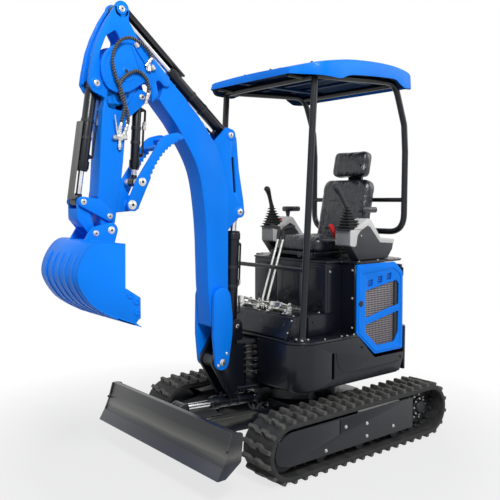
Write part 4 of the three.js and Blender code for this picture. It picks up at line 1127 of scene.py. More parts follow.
def floorPiece():
    half = deckOutline(2, 75)
    outline = half + [(x, -y) for x, y in reversed(half)]
    whole = plate(outline, 270.3, 286.3, deckBase, flat=True, edge=5, segments=3)
    wings = []
    for side in (-1, 1):
        low, high = flank(side, 337, 478)
        wings.append(plate([(-64, low), (74, low), (74, high), (-64, high)], 270.3, 286.3, deckBase,
            flat=True, edge=4))
    coatAll([whole] + wings, blackPaint)
    treads = []
    for side in (-1, 1):
        for step in range(9):
            x = 60 + step * 22
            treads.append(coat(block((x, side * 408 - 46, 286), (x + 9, side * 408 + 46, 289), 1.2, 1,
                deckBase), blackPaint))
    for x, y in ((20, 462), (-30, 468), (-46, 458), (200, 455), (60, 455)):
        for side in (-1, 1):
            treads.append(bolt(up(x, side * y, 287), alongZ, 6))
    finished([whole] + treads, "floorPlate", "upper", ["floor_plate"])
    finished(wings, "sideLedges", "upper", [])


floorPiece()


footBoxSize = {"low": 286.6, "high": 411.6}


def footBoxPiece(size):
    low, high = size.values()
    shape = rounded([(75.3, low), (398, low), (401, low + 12), (338, high, 12), (75.3, high)], 2)
    body = plate(shape, -342, 342, deckBase, edge=4, segments=3)
    hole = turned([(-30, 29), (30, 29)], up(345, 342, low + 44), alongY, 32)
    carve(body, hole)
    parts = [coat(body, blackPaint)]
    ring = turned([(-18, 29.5), (-18, 34), (1, 34), (2.5, 32), (2.5, 29.5)], up(345, 341, low + 44), alongY,
        32)
    inner = turned([(0, 31), (1, 31)], up(345, 320, low + 44), alongY, 24)
    parts += [coat(ring, blackPaint), coat(inner, hoseRubber)]
    lid = plate(rounded([(90, -330), (326, -330), (326, 330), (90, 330)], 18), high - 1, high + 3, deckBase,
        flat=True, edge=1.5)
    parts.append(coat(lid, blackPaint))
    for x in (105, 312):
        for y in (-310, 0, 310):
            parts.append(bolt(up(x, y, high + 3), alongZ, 6))
    # the box beside the step, and the cheek plates at the ends of the slope
    for side in (-1, 1):
        y0, y1 = flank(side, 341, 352)
        parts.append(coat(block((10, y0, low + 1), (232, y1, high - 4), 4, 3, deckBase), blackPaint))
        parts.append(bolt(up(196, side * 352, 372), alongY * side, 6, blackPaint))
        slope = rounded([(372, low + 2), (405, low + 2), (345, high + 1), (322, high + 1)], 5)
        y0, y1 = flank(side, 330, 345)
        parts.append(coat(plate(slope, y0, y1, deckBase, edge=2), blackPaint))
        for x, z in ((352, 396), (384, 330)):
            parts.append(bolt(up(x, side * 337, z), Vector((0.89, 0, 0.46)), 5))
    for y in (-200, 0, 200):
        panel = block((-1, y - 80, -46), (3, y + 80, 46), 1.4, 1)
        panel.matrix_world = Matrix.Translation(up(369, 0, 351)) @ Matrix.Rotation(-0.47, 4, "Y")
        settle(panel)
        parts.append(coat(panel, blackPaint))
    return finished(parts, "footBox", "upper", ["foot_box"])


footBoxPiece(footBoxSize)


coverSize = {"half": 335, "front": 75, "rear": -430, "low": 30.6, "high": 710}


def engineCoverPiece(size):
    w, front, rear, low, high = size.values()
    shell = block((rear, -w, low), (front, w, high), 7, 3, deckBase)
    carve(shell, block((rear - 40, -w + 20, low - 40), (front - 20, w - 20, high - 20), 2, 1, deckBase))
    parts = [shell]
    for y0, y1 in ((-310, -112), (-102, 102), (112, 310)):
        outline = rounded([(y0, 440), (y1, 440), (y1, 690), (y0, 690)], 16)
        parts.append(plate(outline, -(front + 3), -(front - 2), (0, 0, 0), edge=1.6))
        parts[-1].rotation_euler = (0, 0, pi / 2)
        parts[-1].location = deckBase
        settle(parts[-1])
    for side in (-1, 1):
        # the side panel between the seat base and the door, with its folded edges
        y0, y1 = flank(side, 336, 458)
        parts.append(block((-64, y0, 287), (-56, y1, 708), 1.5, 1, deckBase))
        outer = flank(side, 448, 458)
        parts.append(block((-64, outer[0], 287), (-48, outer[1], 708), 1.5, 1, deckBase))
        outline = rounded([(-50, 300), (60, 300), (60, 690), (-50, 690)], 14)
        y0, y1 = flank(side, 333, 338)
        parts.append(plate(outline, y0, y1, deckBase, edge=1.6))
    coatAll(parts, blackPaint)
    for side in (-1, 1):
        for z in (320, 500, 670):
            parts.append(bolt(up(-56, side * 430, z), alongX, 7))
        for z in (330, 660):
            parts.append(bolt(up(40, side * 338, z), alongY * side, 6))
    for y in (-290, -125, 125, 290):
        for z in (460, 672):
            parts.append(bolt(up(78, y, z), alongX, 5, blackPaint))
    return finished(parts, "engineCover", "upper", ["engine_cover"])


engineCoverPiece(coverSize)


def enginePiece():
    parts = [coat(refined("engine", ironPaint, 9, segments=3), ironPaint)]
    for side in (-1, 1):
        for step in range(9):
            z = 130 + step * 36
            low, high = flank(side, 219, 229)
            parts.append(coat(block((-390, low, z), (-30, high, z + 12), 3, 1, deckBase), ironPaint))
        fan = turned([(0, 10), (0, 120), (8, 124), (16, 120), (18, 60), (22, 40), (22, 10)],
            up(-300, side * 228, 330), alongY * side, 32)
        parts.append(coat(fan, ironPaint))
    return finished(parts, "engineBlock", "upper", ["engine"])


enginePiece()


def seatDeckPiece():
    w = 476
    half = [(75, 60)] + [(75, 346), (-46, 350), (-49, w), (-385, w)] + flow([(-385, w), (-500, w * 0.93),
        (-548, w * 0.6), (-558, w * 0.25), (-560, 0)], 3)[1:]
    outline = half + [(x, -y) for x, y in reversed(half[:-1])]
    deck = plate(rounded(outline, 12, 3), 710.3, 722.3, deckBase, flat=True, edge=4, segments=3)
    parts = [coat(deck, blackPaint)]
    for x in (-430, -260, -90):
        for side in (-1, 1):
            parts.append(bolt(up(x, side * 452, 722), alongZ, 6))
    return finished(parts, "seatDeck", "upper", ["seat_deck"])


seatDeckPiece()

doorSize = {
    "outline": [(-49, 707, 6), (-395, 707, 40), (-475, 640, 60), (-478, 400, 200), (-480, 148, 14),
        (-214, 148, 16), (-49, 291, 10)],
    "vents": [(-165, 590), (-252, 606), (-339, 620)],
    "windows": [
        [(-124, 545, 10), (-412, 592, 10), (-438, 562, 14), (-437, 436, 10), (-124, 376, 10)],
        [(-124, 336, 10), (-437, 396, 10), (-436, 256, 26), (-395, 198, 20), (-236, 196, 16),
            (-124, 292, 16)],
    ],
}


def doorPiece(side, name, body, node):
    size = doorSize
    face = 480
    holes = [rounded(window, 10) for window in size["windows"]]
    for x, z in size["vents"]:
        holes.append(rounded([(x - 23, z - 20), (x + 23, z - 26), (x + 23, z + 16), (x - 23, z + 22)], 4, 2))
    skin = plate(rounded(size["outline"], 8, 6), face - 14, face - 3, deckBase, holes=holes, edge=3.5,
        segments=3)
    parts = [coat(skin, bluePaint)]
    rim = rounded([(-62, 694, 8), (-388, 694, 34), (-464, 634, 50), (-467, 400, 160), (-469, 160, 12),
        (-219, 160, 12), (-62, 297, 10)], 8, 6)
    inner = rounded([(-80, 650, 20), (-380, 668, 30), (-452, 624, 40), (-453, 400, 160), (-455, 172, 16),
        (-224, 172, 16), (-80, 306, 14)], 8, 6)
    parts.append(coat(plate(rim, face - 6, face, deckBase, holes=[inner], edge=3, segments=3), bluePaint))
    meshFrame = rounded([(-100, 628), (-400, 650), (-450, 600), (-450, 184), (-216, 180), (-100, 300)], 18)
    parts.append(coat(plate(meshFrame, face - 18, face - 14.5, deckBase, edge=0.8), screen))
    vents = rounded([(-130, 566), (-130, 640), (-390, 660), (-390, 602)], 10)
    parts.append(coat(plate(vents, face - 14.2, face - 9, deckBase, edge=0.8), ventScreen))
    strip = rounded([(-400, 588), (-440, 560), (-440, 230), (-400, 200)], 8)
    parts.append(coat(plate(strip, face - 15, face - 9, deckBase, edge=1), blackPaint))
    latch = turned([(0, 16), (0, 19), (3, 19), (4, 15), (4, 6)], up(-80, face - 3, 470), alongY, 24)
    parts.append(coat(latch, blackPaint))
    for z in (250, 640):
        hinge = sleeve(26, 6, 9, up(-478, face - 12, z), alongZ, 16)
        parts.append(coat(hinge, blackPaint))
    whole = joined(parts)
    if side < 0:
        twin = mirrored(whole)
        bpy.data.objects.remove(whole)
        whole = twin
    return finished(whole, name, body, [node])


doorPiece(1, "leftDoor", "side_door", "left_door")
doorPiece(-1, "rightCover", "upper", "right_cover")


def tailOutline(front, w, rear):
    half = [(front, w)] + flow([(front - 12, w), (front - 42, w * 0.94), (rear + 16, w * 0.72),
        (rear, w * 0.4), (rear - 0.01, 0.1)], 4)
    return half + [(x, -y) for x, y in reversed(half)]


def tailPieces():
    weight = plate(rounded(tailOutline(-490.3, 480, -580), 6, 2), 10, 290, deckBase, flat=True, edge=14,
        segments=4)
    parts = [coat(weight, blackPaint)]
    towPin = turned([(0, 8), (48, 8), (50, 6)], up(-520, -425, 285), alongZ, 16)
    parts.append(coat(towPin, zinc))
    for y in (-150, 150):
        parts.append(coat(turned([(-26, 24), (-26, 30), (4, 30), (6, 26), (6, 18)], up(-576, y, 150), -alongX,
            28), blackPaint))
    slots = plate(rounded([(-120, 60), (120, 60), (120, 84), (-120, 84)], 8), -0.5, 2, (0, 0, 0), edge=1)
    slots.rotation_euler = (0, 0, pi / 2)
    slots.location = up(-579, 0, 0)
    settle(slots)
    parts.append(coat(slots, blackPaint))
    finished(parts, "counterweight", "upper", ["counterweight"])

    hood = plate(rounded(tailOutline(-502.3, 436, -570), 6, 2), 295.2, 680, deckBase, flat=True, edge=16,
        segments=4)
    parts = [coat(hood, blackPaint)]
    for step in range(7):
        z = 400 + step * 26
        louvre = block((-572, -170, z), (-560, 170, z + 14), 3, 2, deckBase)
        parts.append(coat(louvre, blackPaint))
    handle = elbowRun([up(-566, -60, 610), up(-577, -60, 610), up(-577, 60, 610), up(-566, 60, 610)], 8)
    parts.append(coat(tube(handle, 6, False), zinc))
    for side in (-1, 1):
        lamp = turned([(0, 22), (0, 30), (5, 30), (8, 26), (9, 12)], up(-560, side * 300, 620),
            Vector((-1, side * 0.25, 0)), 28)
        parts.append(coat(lamp, redGrip))
    finished(parts, "rearHood", "hood", ["rear_hood"])


tailPieces()
print("upper body done")


postSize = {"y": 410, "radius": 20, "foot": 338}


def canopyFramePiece():
    y0 = postSize["y"]
    r = postSize["radius"]
    parts = []
    for side in (-1, 1):
        y = side * y0
        parts.append(tube([up(postSize["foot"], y, 288), up(250, y, 1806)], r, False, 20))
        run = elbowRun([up(262, y, 1794), up(-450, y, 1826), up(-548, y, 1570), up(-562, y, 1400),
            up(-561, y, 885), up(-561, side * 150, 885)], 120, 9)
        parts.append(tube(run, r, False, 20))
        parts.append(turned([(0, 44), (0, 46), (8, 46), (9, 42), (9, 26), (26, 21)],
            up(postSize["foot"], y, 286.6), alongZ, 32))
        for turn in range(4):
            way = Vector((cos(pi / 4 + turn * pi / 2), sin(pi / 4 + turn * pi / 2), 0))
            parts.append(bolt(up(postSize["foot"], y, 295) + way * 0.033, alongZ, 8))
    parts.append(tube([up(-561, -160, 885), up(-561, 160, 885)], r, False, 20))
    parts.append(tube([up(-559, -y0, 1093), up(-559, y0, 1093)], 15, False, 16))
    parts.append(tube([up(314, -y0, 690), up(314, y0, 690)], 13, False, 16))
    parts.append(tube([up(250, -y0, 1790), up(250, y0, 1790)], r, False, 20))
    parts.append(tube([up(-440, -y0, 1812), up(-440, y0, 1812)], r, False, 20))
    for y in (-y0, y0):
        parts.append(tube([up(246, y * 0.8, 1792), up(384, y * 0.8, 1796)], 14, False, 16))
    for y in (-150, 150):
        parts.append(block((-574, y - 14, 722.6), (-546, y + 14, 885), 3, 2, deckBase))
        parts.append(block((-590, y - 40, 722.6), (-516, y + 40, 734), 3, 2, deckBase))
    for part in parts:
        if not part.data.materials:
            coat(part, tubePaint)
    return finished(parts, "canopyFrame", "upper", ["canopy_frame"])


canopyFramePiece()

roofSize = {
    "top": [(-578, 1812), (-540, 1852), (-500, 1876), (-420, 1894), (-300, 1906), (-150, 1907), (25, 1898),
        (150, 1881), (290, 1856), (402, 1829)],
    "edge": [(-578, 1800), (-540, 1786), (-435, 1780), (-380, 1800), (-317, 1822), (-29, 1810), (74, 1797),
        (120, 1779), (160, 1774), (210, 1777),
             (295, 1780), (402, 1791)],
    "half": [(-578, 400), (-540, 462), (-480, 498), (-300, 506), (0, 506), (200, 504), (262, 498), (310, 470),
        (402, 371)],
    "rise": 9, "stations": 48, "across": 32,
}


def readOff(curve, x):
    # reads a height or a half width off a curve at x
    for (x0, v0), (x1, v1) in zip(curve, curve[1:]):
        if x <= x1:
            return v0 + (v1 - v0) * (x - x0) / (x1 - x0)
    return curve[-1][1]


def roofPiece(size):
    top = flow(size["top"], 5)
    edge = flow(size["edge"], 5)
    half = flow(size["half"], 4)
    rear, front = top[0][0], top[-1][0]
    bpy.ops.mesh.primitive_grid_add(x_subdivisions=size["stations"], y_subdivisions=size["across"], size=2,
        location=(0, 0, 0))
    roof = bpy.context.object
    for corner in roof.data.vertices:
        u, v = corner.co.x, corner.co.y
        x = (front + rear) / 2 + u * (front - rear) / 2
        wide = readOff(half, x)
        panel = 4 if 0.2 < abs(v) < 0.62 and -0.86 < u < 0.8 else 0
        shoulder = max(0, (abs(v) - 0.9) / 0.1)
        z = readOff(top, x) + size["rise"] * (1 - v * v) - panel - 5 * shoulder ** 2
        corner.co = up(x, v * (wide - 6 * shoulder ** 2), z)
    editMode(roof, "SELECT")
    bpy.ops.mesh.select_mode(type="EDGE")
    bpy.ops.mesh.region_to_loop()
    bpy.ops.mesh.extrude_edges_move(TRANSFORM_OT_translate={"value": (0, 0, -0.02)})
    objectMode()
    for corner in roof.data.vertices:
        if corner.select:
            x = (corner.co.x - deckBase.x) / mm
            low = deckBase.z + readOff(edge, x) * mm
            corner.co.z = low
            corner.co.y *= 1.012
            if x > front - 1:
                corner.co.x += 0.008
    modify(roof, "SOLIDIFY", thickness=0.005, offset=-1)
    roundEdges(roof, 1.6, 2, 50)
    editMode(roof)
    bpy.ops.mesh.normals_make_consistent(inside=False)
    objectMode()
    coat(roof, bluePaint)
    roof.data.materials.append(roofUndersideShade)
    # faces that look down or inwards take the darker blue, as painted shade under the roof
    for face in roof.data.polygons:
        inward = face.normal.y * face.center.y < -0.0001 and abs(face.center.y) > 0.2
        if face.normal.z < -0.35 or (face.normal.z < 0.2 and inward):
            face.material_index = 1
    parts = [roof]
    # the ribs under the roof take the same painted shade
    for y in (-250, 250):
        rib = block((-470, y - 20, 1826), (380, y + 20, 1842), 4, 2, deckBase)
        parts.append(coat(rib, roofUndersideShade))
    for x in (-300, -100, 100):
        rib = block((x - 16, -470, 1838), (x + 16, 470, 1856), 4, 2, deckBase)
        parts.append(coat(rib, roofUndersideShade))
    for x, y in ((330, -120), (330, 120), (285, 420), (285, -420), (-420, 440), (-420, -440)):
        parts.append(bolt(up(x, y, readOff(top, x) + size["rise"] * (1 - (y / readOff(half, x)) ** 2) - 1),
            alongZ, 7, blackPaint))
    return finished(parts, "canopyRoof", "upper", ["canopy_roof"])


roofPiece(roofSize)
print("canopy done")


seatSize = {
    "x": -163, "length": 368, "width": 418, "thick": 90, "base": 758, "tilt": 0.2,
    "backHeight": 452, "backWidth": 432, "backThick": 78,
    "headHeight": 176, "headWidth": 300, "headThick": 82,
    "pressure": 4.0, "frames": 20, "quality": 5, "voxel": 0.006, "firstVoxel": 0.009,
    "cap": 8, "headCap": 4, "coverFrom": 0.02, "crease": 1.3, "fill": 0.8,
    "stayFoot": (-402, 0, 787.6), "backUp": 228, "headUp": 556,
}


def padShape(length, width, thick, corner, crown):
    # a cushion lying flat: a rounded block with a crowned top
    outline = rounded([(-length / 2, -width / 2), (length / 2, -width / 2), (length / 2, width / 2),
        (-length / 2, width / 2)], corner, 7)
    pad = plate(outline, 0, thick, (0, 0, 0), flat=True, edge=min(26, thick * 0.3), segments=4)
    editMode(pad)
    bpy.ops.mesh.subdivide(number_cuts=1)
    objectMode()
    modify(pad, "REMESH", mode="VOXEL", voxel_size=seatSize["firstVoxel"])
    for vertex in pad.data.vertices:
        u = vertex.co.x / (length / 2 * mm)
        v = vertex.co.y / (width / 2 * mm)
        if vertex.co.z > thick * 0.4 * mm:
            vertex.co.z += crown * mm * (1 - min(1, u * u)) * (1 - min(1, v * v))
    return pad


def swell(pad, size, most):
    # cloth pressure fills the cover; the move is capped so that it stays clear of its neighbours
    modify(pad, "REMESH", mode="VOXEL", voxel_size=size["voxel"])
    before = [corner.co.copy() for corner in pad.data.vertices]
    pick(pad)
    bpy.ops.object.modifier_add(type="CLOTH")
    cloth = pad.modifiers[-1]
    cloth.settings.use_pressure = True
    cloth.settings.uniform_pressure_force = size["pressure"]
    cloth.settings.effector_weights.gravity = 0
    cloth.settings.quality = size["quality"]
    for step in range(1, size["frames"] + 1):
        bpy.context.scene.frame_set(step)
    held = bpy.context.evaluated_depsgraph_get()
    after = [corner.co.copy() for corner in pad.evaluated_get(held).data.vertices]
    pad.modifiers.remove(cloth)
    bpy.context.scene.frame_set(1)
    for corner, first, last in zip(pad.data.vertices, before, after):
        move = last - first
        if move.length > most * mm:
            move = move.normalized() * most * mm
        corner.co = first + move


def stitched(pad, channels, depth=5, width=7):
    # sewn channels: lines at which the cover is pulled in
    for corner in pad.data.vertices:
        if corner.co.z < seatSize["coverFrom"]:
            continue
        pull = 0
        for axis, place, low, high in channels:
            along = corner.co.y if axis == "x" else corner.co.x
            gap = abs((corner.co.x if axis == "x" else corner.co.y) / mm - place)
            if low <= along / mm <= high and gap < width * 2.5:
                pull = max(pull, depth * (1 - gap / (width * 2.5)) ** 2)
        corner.co.z -= pull * mm


def creased(pad, seed, amount):
    # shallow puckers running in from the edges, as vinyl takes them
    for corner in pad.data.vertices:
        u = corner.co.x * 1000
        v = corner.co.y * 1000
        if corner.co.z > seatSize["coverFrom"]:
            wave = sin(u / 17 + seed + sin(v / 41) * 2) * sin(v / 29 + seed * 2 + cos(u / 53) * 1.5)
            corner.co.z += wave * amount * mm


def placedPad(pad, matrix, name, node):
    modify(pad, "SUBSURF", levels=1, render_levels=1)
    pad.matrix_world = matrix
    settle(pad)
    piece = finished(coat(pad, vinyl), name, "upper", [node])
    pick(piece)
    bpy.ops.object.shade_smooth()
    return piece


def seatPieces(size):
    cushion = padShape(size["length"], size["width"], size["thick"], 62, 10)
    back = padShape(size["backHeight"], size["backWidth"], size["backThick"], 72, 8)
    head = padShape(size["headHeight"], size["headWidth"], size["headThick"], 46, 6)
    for pad, most in ((cushion, size["cap"]), (back, size["cap"]), (head, size["headCap"])):
        swell(pad, size, most)
    stitched(cushion, [("y", -150, -190, 190), ("y", 150, -190, 190), ("x", -120, -150, 150),
        ("x", 130, -150, 150)])
    stitched(back, [("y", -128, -190, 190), ("y", 128, -190, 190), ("x", 130, -128, 128),
        ("x", -60, -128, 128)])
    stitched(head, [("y", -105, -80, 80), ("y", 105, -80, 80)], 3)
    for pad, seed in ((cushion, 1.3), (back, 2.1), (head, 4.2)):
        creased(pad, seed, size["crease"])
    placedPad(cushion, Matrix.Translation(up(size["x"], 0, size["base"] + 4)), "seatCushion", "seat_cushion")
    lean = Matrix.Rotation(-size["tilt"], 4, "Y")
    foot = Matrix.Translation(up(*size["stayFoot"]))
    for pad, height, name, node, thick in ((back, size["backUp"], "seatBackrest", "seat_back", 90),
                                           (head, size["headUp"], "seatHeadrest", "headrest", 95)):
        stand = Matrix.Translation(Vector((-thick / 2 + 5, 0, height)) * mm) @ Matrix.Rotation(pi / 2, 4, "Y")
        placedPad(pad, foot @ lean @ stand, name, node)


seatPieces(seatSize)


def seatMountPiece():
    parts = [coat(refined("seat_mount", blackPaint, 3), blackPaint)]
    for side in (-1, 1):
        low, high = flank(side, 196, 204)
        parts.append(coat(block((-300, low, 745), (40, high, 765), 2, 1, deckBase), blackPaint))
    parts.append(coat(block((-335, -192, 744), (8, 192, 763), 6, 3, deckBase), charcoal))
    knob = turned([(0, 8), (12, 8), (14, 16), (30, 18), (36, 14), (37, 5)], up(62, 120, 752), alongX, 20)
    parts.append(coat(knob, charcoal))
    finished(parts, "seatMount", "upper", ["seat_mount"])
    finished(refined("seat_stay", blackPaint, 4, segments=3), "seatStay", "upper", ["seat_stay"])


seatMountPiece()
print("seat done")


consoleSize = {
    "x": 20, "y": 352, "base": 722.6, "half": 63,
    "side": [(-76, 184, 10), (-76, 90, 16), (-148, 2, 16), (-420, 2, 14), (-466, 58, 14), (-480, 116, 8),
        (-346, 130, 20),
             (-254, 236, 30), (-230, 246, 26), (-120, 188, 20)],
    "band": [(-74, 187, 8), (-74, 92, 8), (-112, 84, 14), (-128, 96, 20), (-136, 150, 26), (-158, 178, 24),
        (-226, 212, 20), (-250, 202, 16),
             (-344, 104, 10), (-476, 94, 6), (-484, 122, 6), (-350, 136, 12), (-258, 248, 24),
             (-232, 258, 24), (-122, 196, 20)],
}


def consolePiece(side):
    label = labelOf(side)
    size = consoleSize
    at = off(deckBase, size["x"], side * size["y"], size["base"])
    half = size["half"]
    tub = [(-76, 184, 10), (-76, 92, 16), (-130, 80, 16), (-430, 70, 14), (-470, 76, 14), (-480, 116, 8),
        (-346, 130, 20), (-254, 236, 30), (-230, 246, 26), (-120, 188, 20)]
    keel = plate(rounded(size["side"], 12, 6), *flank(side, half - 70, half - 1), at, edge=6, segments=3)
    shell = plate(rounded(tub, 12, 6), -half + 3, half - 3, at, edge=6, segments=3)
    parts = [coat(keel, charcoal), coat(shell, charcoal)]
    skid = plate(rounded([(-200, -0.2), (-190, 90), (-410, 90), (-400, -0.2)], 3), -half + 16, half - 12, at,
        edge=1)
    parts.append(coat(skid, charcoal))
    # the pale band that runs down the nose and back along the top edge, on both faces
    for low, high in ((half - 8, half), (-half, -half + 8)):
        parts.append(coat(plate(rounded(size["band"], 12, 5), low, high, at, edge=3, segments=3), paleGrey))
    top = [(-112, 190), (-122, 196, 18), (-232, 258, 22), (-258, 248, 22), (-350, 136, 12), (-482, 122, 4),
        (-482, 114), (-346, 126, 12), (-254, 238, 22), (-232, 247, 22), (-122, 186, 18), (-112, 182)]
    parts.append(coat(plate(rounded(top, 4, 4), -half + 5, half - 5, at, edge=2), paleGrey))
    nose = [(-72, 187, 10), (-72, 92, 18), (-92, 84, 12), (-122, 92, 10), (-122, 188, 8)]
    parts.append(coat(plate(rounded(nose, 10, 6), -half + 4, half - 4, at, edge=10, segments=4), midGrey))
    for x, z in ((-170, 152), (-462, 106)):
        parts.append(bolt(off(at, x, side * (half - 1), z), alongY * side, 4))
    for x, z in ((-430, 40), (-170, 30), (-290, 150)):
        parts.append(bolt(off(at, x, side * (half - 3), z), alongY * side, 4, charcoal))
    rest = block((-362, -28, 290), (-226, 28, 326), 13, 4, at)
    stalk = turned([(0, 11), (2, 13), (22, 11), (44, 15), (60, 18)], off(at, -262, 0, 234), alongZ, 20)
    parts += [coat(rest, vinyl), coat(stalk, charcoal)]
    switch = block((-196, -16, 226), (-170, 16, 244), 3, 2, at)
    parts.append(coat(switch, redGrip if side < 0 else charcoal))
    return finished(parts, label + "Console", "upper", [label + "_console"])


bellowsSize = {"x": -124, "z": 188, "ribs": 8, "low": 66, "high": 17, "height": 138, "lean": 12}


def joystickPiece(side):
    label = labelOf(side)
    size = bellowsSize
    at = off(deckBase, consoleSize["x"] + size["x"], side * consoleSize["y"], consoleSize["base"] + size["z"])
    bpy.ops.mesh.primitive_circle_add(vertices=4, radius=1, fill_type="NGON", rotation=(0, 0, pi / 4),
        location=(0, 0, 0))
    boot = bpy.context.object
    boot.scale = (size["low"] * 1.36 * mm, size["low"] * 1.36 * mm, 1)
    settle(boot)
    editMode(boot)
    now = size["low"]
    step = size["height"] / size["ribs"]
    for rib in range(size["ribs"]):
        narrow = size["low"] + (size["high"] - size["low"]) * ((rib + 1) / size["ribs"]) ** 0.8
        deep = max(narrow - 11, 9)
        for rise, width in ((0.22, now), (0.3, deep), (0.2, deep), (0.28, narrow)):
            shift = size["lean"] / size["ribs"] * rise * mm
            bpy.ops.mesh.extrude_region_move(TRANSFORM_OT_translate={"value": (shift, 0, rise * step * mm)})
            centre = size["lean"] * rib / size["ribs"] * mm
            bpy.ops.transform.resize(value=(width / now, width / now, 1), center_override=(centre, 0, 0))
            now = width
    objectMode()
    roundEdges(boot, 2, 2, 20)
    boot.location = at
    settle(boot)
    parts = [coat(boot, bellows)]
    parts.append(coat(block((-70, -62, -3), (66, 62, 4), 3, 2, at), charcoal))
    collar = off(at, size["lean"] - 2, 0, size["height"] - 8)
    lean = Vector((70, side * -34, 136)).normalized()
    grip = turned([(-4, 10), (0, 15), (8, 16), (26, 13.5), (60, 13), (96, 14), (118, 16.5), (134, 19),
        (146, 20), (156, 17), (162, 10), (164, 2)], collar, lean, 28)
    for corner in grip.data.vertices:
        share = (corner.co - collar).dot(lean) / 0.16
        if share > 0.7:
            corner.co.x += (share - 0.7) * 0.028
    parts.append(coat(grip, bellows))
    button = turned([(0, 5), (0, 6.5), (5, 6.5), (6.5, 4)], collar + lean * 0.142 + Vector((0.026, 0, 0)),
        Vector((1, 0, 0.3)), 16)
    parts.append(coat(button, charcoal))
    return finished(parts, label + "Joystick", "upper", [label + "_joystick"])


for side in (-1, 1):
    consolePiece(side)
    joystickPiece(side)


leverSize = {"y": 23, "foot": 268, "topX": 128, "topZ": 852, "base": 411.9}


def travelLeverPiece(size):
    z0 = size["base"]
    foot = size["foot"]
    parts = []
    steel = []
    for side in (-1, 1):
        y = side * size["y"]
        top = up(size["topX"], y, size["topZ"] + 34)
        run = [up(foot, y, z0 + 16), up(foot - 4, y, z0 + 70), up(size["topX"] + 8, y, size["topZ"]), top]
        steel.append(tube(elbowRun(run, 60), 8, False, 16))
        handle = elbowRun([up(size["topX"] + 12, y, size["topZ"] - 6), up(size["topX"], y, size["topZ"] + 62),
                           up(size["topX"] - 4, y + side * 84, size["topZ"] + 74)], 22, 8)
        parts.append(coat(tube(handle, 12.5, False, 18), bellows))
        # a folded pedal in front of each lever, on its own pivot
        low, high = sorted((y + side * 4, y + side * 74))
        pedal = plate(rounded([(foot - 4, z0 + 30), (foot + 54, z0 + 66), (foot + 57, z0 + 62),
            (foot - 1, z0 + 26)], 1.2), low, high, deckBase, edge=1)
        steel.append(pedal)
        for step in range(4):
            x = foot + 6 + step * 12
            steel.append(block((x, low + 6, z0 + 36 + step * 7.5), (x + 5, high - 6, z0 + 42 + step * 7.5), 1,
                1, deckBase))
        yoke = rounded([(foot - 22, z0 + 3), (foot + 22, z0 + 3), (foot + 16, z0 + 40), (foot + 4, z0 + 58),
            (foot - 10, z0 + 50)], 8)
        for face in (-1, 1):
            steel.append(plate(yoke, y + face * 14 - 2.5, y + face * 14 + 2.5, deckBase, edge=1.2))
        steel.append(turned([(-20, 5), (-20, 9), (-17, 9), (-17, 6), (17, 6), (17, 9), (20, 9), (20, 5)],
            up(foot, y, z0 + 34), alongY, 16))
    # the bell cranks and rods that lead to the valves on either side
    for y, x0 in ((-150, 262), (-92, 230), (88, 238), (146, 262), (196, 240)):
        crank = rounded([(x0 - 18, z0 + 3), (x0 + 20, z0 + 3), (x0 + 26, z0 + 26), (x0 + 6, z0 + 62),
            (x0 - 8, z0 + 62), (x0 - 20, z0 + 24)], 7)
        hole = circle(x0 + 2, z0 + 44, 6, 14)
        steel.append(plate(crank, y - 3, y + 3, deckBase, holes=[hole], edge=1.2))
        steel.append(turned([(-13, 5), (-13, 10), (-7, 10), (-7, 7), (7, 7), (7, 10), (13, 10), (13, 5)],
            up(x0 + 2, y, z0 + 20), alongY, 6))
        steel.append(tube([up(x0 + 4, y + 8, z0 + 52), up(x0 - 60, y + 6, z0 + 34),
            up(x0 - 118, y + 2, z0 + 20)], 4.5, False, 10))
        steel.append(sleeve(8, 5, 8, up(x0 - 118, y + 2, z0 + 20), alongY, 12))
    for side in (-1, 1):
        low, high = flank(side, 128, 214)
        plateRun = [(246, z0 + 44), (330, z0 + 74), (333, z0 + 70), (249, z0 + 40)]
        steel.append(plate(rounded(plateRun, 1.2), low, high, deckBase, edge=1))
        lip = rounded([(318, z0 + 70), (333, z0 + 74), (336, z0 + 50), (331, z0 + 48)], 1.5)
        steel.append(plate(lip, low, high, deckBase, edge=0.8))
        for step in range(4):
            x = 258 + step * 16
            steel.append(block((x, low + 8, z0 + 48 + step * 5.8), (x + 6, high - 8, z0 + 54 + step * 5.8), 1,
                1, deckBase))
    shaft = turned([(-226, 5), (-226, 8), (-220, 9), (220, 9), (226, 8), (226, 5)], up(foot, 0, z0 + 20),
        alongY, 20)
    steel.append(shaft)
    for y in (-206, -60, 60, 206):
        low, high = y - 6, y + 6
        footing = rounded([(foot - 30, z0), (foot + 30, z0), (foot + 30, z0 + 5), (foot + 14, z0 + 14),
            (foot + 8, z0 + 32), (foot - 8, z0 + 32), (foot - 14, z0 + 14), (foot - 30, z0 + 5)], 4)
        steel.append(plate(footing, low - 8, high + 8, deckBase, edge=1.5))
    steel.append(block((112, -206, z0), (150, 206, z0 + 14), 3, 2, deckBase))
    for y in (-180, -60, 60, 180):
        steel.append(turned([(0, 6), (0, 10), (10, 10), (12, 6)], up(131, y, z0 + 13), alongZ, 6))
    parts += [coat(part, zinc) for part in steel]
    return finished(parts, "travelLevers", "upper", ["travel_levers"])


travelLeverPiece(leverSize)


def redLeverPiece():
    # the blade lever between the seat and the left console
    run = [up(-139, 262, 724), up(-132, 262, 760), up(-92, 262, 858)]
    parts = [coat(tube(run, 6.5, False, 12), hoseRubber)]
    lean = Vector((62, 0, 92))
    grip = turned([(-6, 7), (-4, 11), (20, 12.5), (60, 14), (92, 15), (104, 12), (109, 4)], up(-95, 262, 852),
        lean, 24)
    parts.append(coat(grip, redGrip))
    parts.append(coat(turned([(0, 18), (2, 20), (10, 14), (16, 8)], up(-139, 262, 722.4), alongZ, 20),
        bellows))
    return finished(parts, "bladeLever", "upper", [])


redLeverPiece()
print("controls done")


